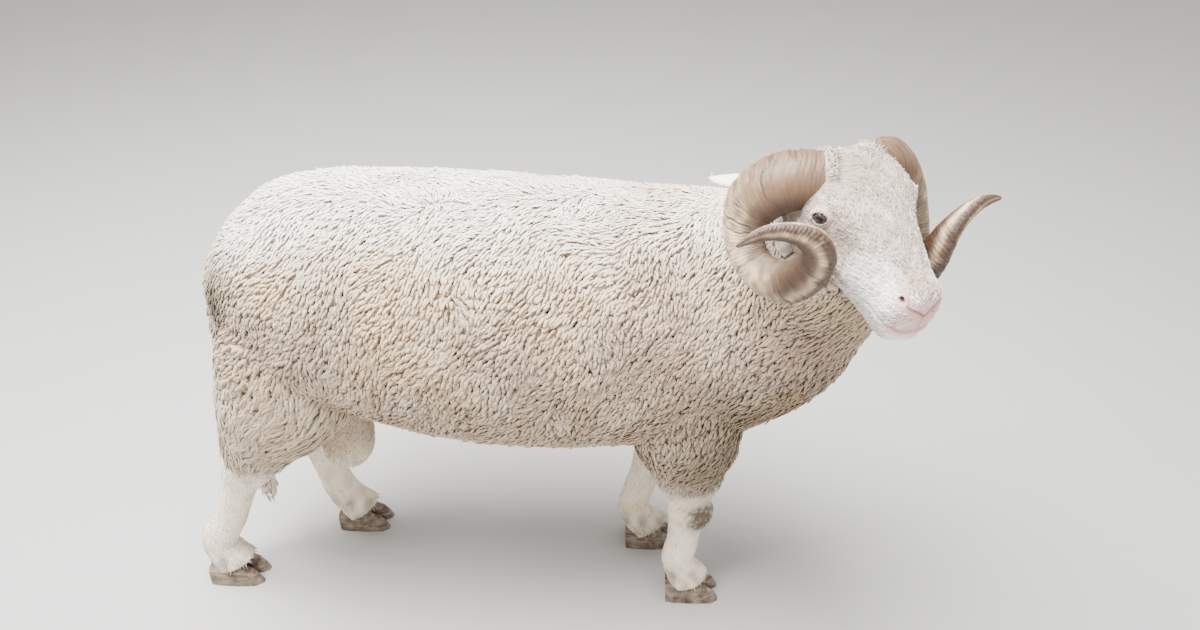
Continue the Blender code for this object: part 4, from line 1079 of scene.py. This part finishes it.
def headHairSizes(p, seed):
    # short flat hair, longer round the horn bases and woolly on the poll between them
    near = headLocal(p)
    rim = rimOf(near, 0.006)
    woolly = (1 - smooth(0.015, 0.050, near[:, 0])) * smooth(-0.06, 0.0, near[:, 2])
    sizes = hairSizes(0.0080, 0.0024, 1.0)(p, seed)
    sizes["reach"] = sizes["reach"] * (1 + 0.2 * rim + 0.3 * woolly)
    sizes["rise"] = sizes["rise"] * (1 + 0.3 * woolly - 0.3 * rim)
    return sizes


def headLie(p, normal):
    # back over the head, and out over the horn bases
    rim = rimOf(headLocal(p), 0.010)[:, None]
    outward = np.sign((p - poll) @ leftWay)[:, None] * leftWay - 0.5 * noseWay
    return onSurface(faceLie(p, normal) * (1 - rim) + outward * rim, normal)


def offHorn(word):
    # where a collar stands clear of the horn that it surrounds
    grid, centre = hornForms[word][0][:200:2], hornForms[word][2][:200:2]
    tree = BVHTree.FromPolygons(grid.reshape(-1, 3).tolist(), ringQuads(*grid.shape[:2])[2].tolist())

    def clear(p):
        found = np.array([tree.find_nearest(Vector(q))[0] for q in p])
        own = centre[np.linalg.norm(found[:, None] - centre[None], axis=2).argmin(1)]
        return ((p - found) * unit(found - own)).sum(1) > 0.0006
    return clear


def hairOn(formName, pitch, allowed, sizesOf, seed, count, look, lieAt):
    # short hair on a form, in one piece
    tuftsOn("hair", formName, pitch, allowed, sizesOf, 1, seed, count, look, lieAt, hairShort)


hairOn("head", 0.0022, hairyFace, headHairSizes, 500, 140000, hairLook, headLie)
for number, (word, _) in enumerate(hands):
    hairOn("boss" + word.capitalize(), 0.0020, offHorn(word), hairSizes(0.0060, 0.0018, 1.0),
           620 + 10 * number, 20000, hairLook, headLie)
for number, legName in enumerate(legKeys):
    hairOn(legName, 0.0034, between(0.040, woolLine[legName[:4]] + 0.022),
           hairSizes(0.011, 0.0022, 0.75, 0.09), 520 + 10 * number, 30000, hairSoft, downLie)
hairOn("scrotum", 0.0036, between(0, 0.42), hairSizes(0.011, 0.0034, 0.9, 0.09),
       580, 20000, hairSoft, downLie)
for number, (word, _) in enumerate(hands):
    hairOn("ear" + word.capitalize(), 0.0040, between(0), hairSizes(0.008, 0.0012, 0.9),
           600 + 10 * number, 6000, hairLook, faceLie)


# horn colours
def hornTint(grid, run, crack, across):
    # pinkish at the base, tan with paler rings, two toned on the second coil: brown with painted shade
    # on the side facing the hub, pale along the ridge, brown at the rim; painted shade on the first coil's
    # inner side as well, and dark in the cracks
    part = (run / run[-1])[:, None] * np.ones(len(across))
    cloud, fine = (ripple(grid.reshape(-1, 3), scale, seed).reshape(part.shape)
                   for scale, seed in ((0.020, 61), (0.006, 62)))
    colour = np.array(hornLook["tan"]) * np.ones((*part.shape, 1))

    def put(name, weight):
        nonlocal colour
        colour = blended(colour, hornLook[name], weight)

    put("base", halo(part, 0.16) * (0.80 + 0.2 * cloud))
    put("pale", halo(part - 0.40, 0.13) * (0.90 + 0.25 * cloud))
    put("pale", 0.25 * smooth(0.2, 1.0, cloud + 0.5 * fine) * smooth(0.15, 0.30, part))
    put("brown", 0.22 * smooth(0.3, 1.2, -cloud + 0.6 * fine))
    second = smooth(0.50, 0.60, part)
    # brown, with painted shade, over the second coil's side that faces the hub
    put("brown", second * (1 - smooth(0.16, 0.54, across)) * 0.96)
    # painted shade: brown on the first coil's side that faces the hub
    put("brown", (1 - second) * (1 - smooth(-0.95, -0.40, across)) * 0.75)
    put("pale", second * halo(across - 0.68, 0.16) * (0.60 + 0.2 * cloud))
    put("brown", second * smooth(0.80, 0.93, across) * (0.75 + 0.3 * fine))
    put("brown", smooth(0.86, 0.97, part) * 0.5)
    put("dark", second * smooth(0.93, 1.0, across) * 0.5)
    # fine dark lines that run across the horn, some rows more than others
    rng = np.random.default_rng(63)
    lines = smooth(0.75, 1.0, rng.random(len(run))) * smooth(-0.4, 0.8, ripple(grid[:, 0], 0.018, 64))
    put("brown", lines[:, None] * (0.45 + 0.35 * fine) * (1 - smooth(0.60, 0.80, part)))
    put("crack", crack * 0.95)
    return colour.reshape(-1, 3)


def hornMaterial():
    # two noises drawn out into rings round the horn shade the tint and raise the surface
    material, add, give = newMaterial("horn", hornLook["roughness"])
    ring = add("UVMap", "UV", uv_map="Ring")
    colour, heights = add("VertexColor", "Color", layer_name="tint"), []
    for scale, low, high in (((3.0, 240.0, 1.0), 0.74, 1.20), ((9.0, 900.0, 1.0), 0.84, 1.12)):
        heights.append(add("TexNoise", "Fac", Scale=1.0, Detail=4.0, Roughness=0.6,
                           Vector=add("Mapping", "Vector", Scale=scale, Vector=ring)))
        colour = shaded(add, colour, heights[-1], low, high, From_Min=0.28, From_Max=0.72)
    height = add("Math", "Value", operation="ADD", both=heights)
    give(Base_Color=colour, Normal=add("Bump", "Normal", Strength=0.6, Distance=0.0012, Height=height))
    return material


hornSkin = hornMaterial()
horns = {}
for word, _ in hands:
    grid, run, path, way, crack, across = hornForms[word]
    horn = closedGrid("hornFull_" + word, grid, path[0], path[-1] + way[-1] * 0.003)
    sides = hornLook["sides"]
    index = np.zeros(len(horn.data.loops), np.int32)
    horn.data.loops.foreach_get("vertex_index", index)
    row = np.minimum(index, grid.shape[0] * sides - 1) // sides
    layUv(horn, "Ring", np.stack([index % sides / sides, run[row]], -1))
    colour = hornTint(grid, run, crack, across)
    layColour(horn, np.vstack([colour, colour[:1], colour[-1:]]))
    horn.data.materials.append(hornSkin)
    horns[word] = horn
print("horns made")


# eyes
eyeLook = {
    "steps": 60, "sides": 64, "corneaRise": 0.0011, "slack": 0.0004, "roughness": 0.08,
    "ball": (0.075, 0.052, 0.045), "iris": (0.040, 0.028, 0.022), "rim": (0.030, 0.026, 0.024),
    "pupil": (0.008, 0.008, 0.010),
}


def eyeForm(hand):
    # a sphere about the eye's own axis, with the cornea raised as a bell round its pole
    facing, along, up = eyeAxes()
    polar = np.linspace(0, np.pi, eyeLook["steps"])[1:-1]
    angle = np.linspace(0, 2 * np.pi, eyeLook["sides"], endpoint=False)
    plain, outer = eyeRadius - eyeLook["slack"], np.multiply.outer
    radius = plain + eyeLook["corneaRise"] * np.exp(-(polar / 0.42) ** 4)
    local = eyeCentre + (outer(radius * np.cos(polar), np.ones(len(angle)))[..., None] * facing
                         + outer(radius * np.sin(polar), np.cos(angle))[..., None] * along
                         + outer(radius * np.sin(polar), np.sin(angle))[..., None] * up)
    poles = eyeCentre + np.stack([facing * (plain + eyeLook["corneaRise"]), -facing * plain])
    flat = np.stack([outer(np.sin(polar), np.cos(angle)), outer(np.sin(polar), np.sin(angle))], -1)
    local[..., 1] *= hand
    poles[:, 1] *= hand
    return poll + local @ headTurn, poll + poles @ headTurn, flat, polar


eyeMaterial, add, give = newMaterial("eye", eyeLook["roughness"])
give(Base_Color=add("VertexColor", "Color", layer_name="tint"), Coat_Weight=0.12, Coat_Roughness=0.03,
     Specular_IOR_Level=0.25)
eyes = {}
for word, hand in hands:
    grid, ends, flat, polar = eyeForm(hand)
    eye = closedGrid("eyeball_" + word, grid, *ends)
    reach = np.sin(polar)[:, None] * np.ones(eyeLook["sides"])
    front = (polar < np.pi / 2)[:, None]
    pupil = ((flat[..., 0] / 0.34) ** 2 + (flat[..., 1] / 0.17) ** 2)
    colour = np.tile(eyeLook["ball"], (*reach.shape, 1))
    colour = blended(colour, eyeLook["iris"], front * (1 - smooth(0.50, 0.56, reach)))
    colour = blended(colour, eyeLook["rim"], front * halo(reach - 0.54, 0.04))
    colour = blended(colour, eyeLook["pupil"], front * (1 - smooth(0.8, 1.05, pupil)))
    layColour(eye, np.vstack([colour.reshape(-1, 3), colour[0, :1], colour[-1, :1]]))
    eye.data.materials.append(eyeMaterial)
    eyes[word] = eye
print("eyes made")


# hooves
hoofLook = {"roughness": 0.62, "dark": (0.055, 0.036, 0.024, 1), "pale": (0.300, 0.225, 0.160, 1)}


def hoofMaterial():
    # dark horn with bands that run level round the claw, worn paler in patches
    material, add, give = newMaterial("hoof", hoofLook["roughness"])
    place = add("TexCoord", "Object")
    bands = add("TexNoise", "Fac", Scale=1.0, Detail=4.0, Roughness=0.6,
                Vector=add("Mapping", "Vector", Scale=(30.0, 30.0, 420.0), Vector=place))
    worn = add("TexNoise", "Fac", Scale=70.0, Detail=3.0, Vector=place)
    shade = add("ValToRGB", "Color", Fac=add("Math", "Value", operation="MULTIPLY", both=(bands, worn)))
    dark, pale = shade.node.color_ramp.elements
    dark.position, dark.color = 0.14, hoofLook["dark"]
    pale.position, pale.color = 0.42, hoofLook["pale"]
    give(Base_Color=shade, Normal=add("Bump", "Normal", Strength=0.6, Distance=0.001, Height=bands))
    return material


hoofHorn = hoofMaterial()
for nodeName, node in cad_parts.items():
    if "hoof" in nodeName:
        node.data.materials.clear()
        node.data.materials.append(hoofHorn)
print("hooves finished:", sum("hoof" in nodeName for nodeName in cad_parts))


# floor, light, camera
studio = {
    "floorHalf": 30.0, "floorColour": (0.40, 0.395, 0.385), "floorRoughness": 0.9,
    "sky": (1.0, 0.985, 0.96, 1), "world": 1.2, "aim": (0.0, 0.0, 0.45),
    "lamps": (("key", (-0.7, -0.25, 3.1), 620.0, 2.4), ("fill", (1.8, -2.6, 1.6), 30.0, 2.0)),
}


def floorMaterial():
    # one colour, shaded very slightly by a broad noise
    material, add, give = newMaterial("floor", studio["floorRoughness"])
    cloud = add("TexNoise", "Fac", Scale=3.0, Detail=3.0, Vector=add("TexCoord", "Object"))
    give(Base_Color=shaded(add, studio["floorColour"], cloud, 0.97, 1.03))
    return material


half = studio["floorHalf"]
floor = makeMesh("floor", np.array([(-half, -half, 0), (half, -half, 0), (half, half, 0), (-half, half, 0)]),
                 np.array([(0, 1, 2, 3)]))
floor.data.materials.append(floorMaterial())

world = bpy.data.worlds.new("studio")
bpy.context.scene.world = world
world.use_nodes = True
sky = world.node_tree.nodes["Background"]
sky.inputs["Color"].default_value = studio["sky"]
sky.inputs["Strength"].default_value = studio["world"]
for name, where, energy, size in studio["lamps"]:
    lamp = bpy.data.lights.new(name, "AREA")
    lamp.energy, lamp.size = energy, size
    light = bpy.data.objects.new(name, lamp)
    light.location = where
    light.rotation_euler = (Vector(studio["aim"]) - Vector(where)).to_track_quat("-Z", "Y").to_euler()
    bpy.context.scene.collection.objects.link(light)

cameraLook = {"place": (0.1786, -1.2254, 1.32), "yaw": 3.4, "down": 31.0, "lens": 28.2, "sensor": 36.0}
lensData = bpy.data.cameras.new("camera")
lensData.lens, lensData.sensor_width = cameraLook["lens"], cameraLook["sensor"]
lensData.sensor_fit = "HORIZONTAL"
camera = bpy.data.objects.new("camera", lensData)
camera.location = cameraLook["place"]
camera.rotation_euler = (math.radians(90 - cameraLook["down"]), 0, math.radians(cameraLook["yaw"]))
bpy.context.scene.collection.objects.link(camera)
bpy.context.scene.camera = camera


# what stands for what
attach(skin, "root")
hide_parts("torso", "neck", "tail", "head", "scrotum", "ear_left", "ear_right",
            "fore_leg_left", "fore_leg_right", "hind_leg_left", "hind_leg_right")
for tufts in coatPieces:
    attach(tufts, "root")
for word in ("left", "right"):
    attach(horns[word], "root")
    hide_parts("horn_" + word)
    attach(eyes[word], "root")
    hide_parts("eye_" + word)

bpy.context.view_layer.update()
total = 0
for made in [skin, *coatPieces, *horns.values(), *eyes.values()]:
    made.data.calc_loop_triangles()
    total += len(made.data.loop_triangles)
    print(made.name, len(made.data.loop_triangles))
print("triangles", total)
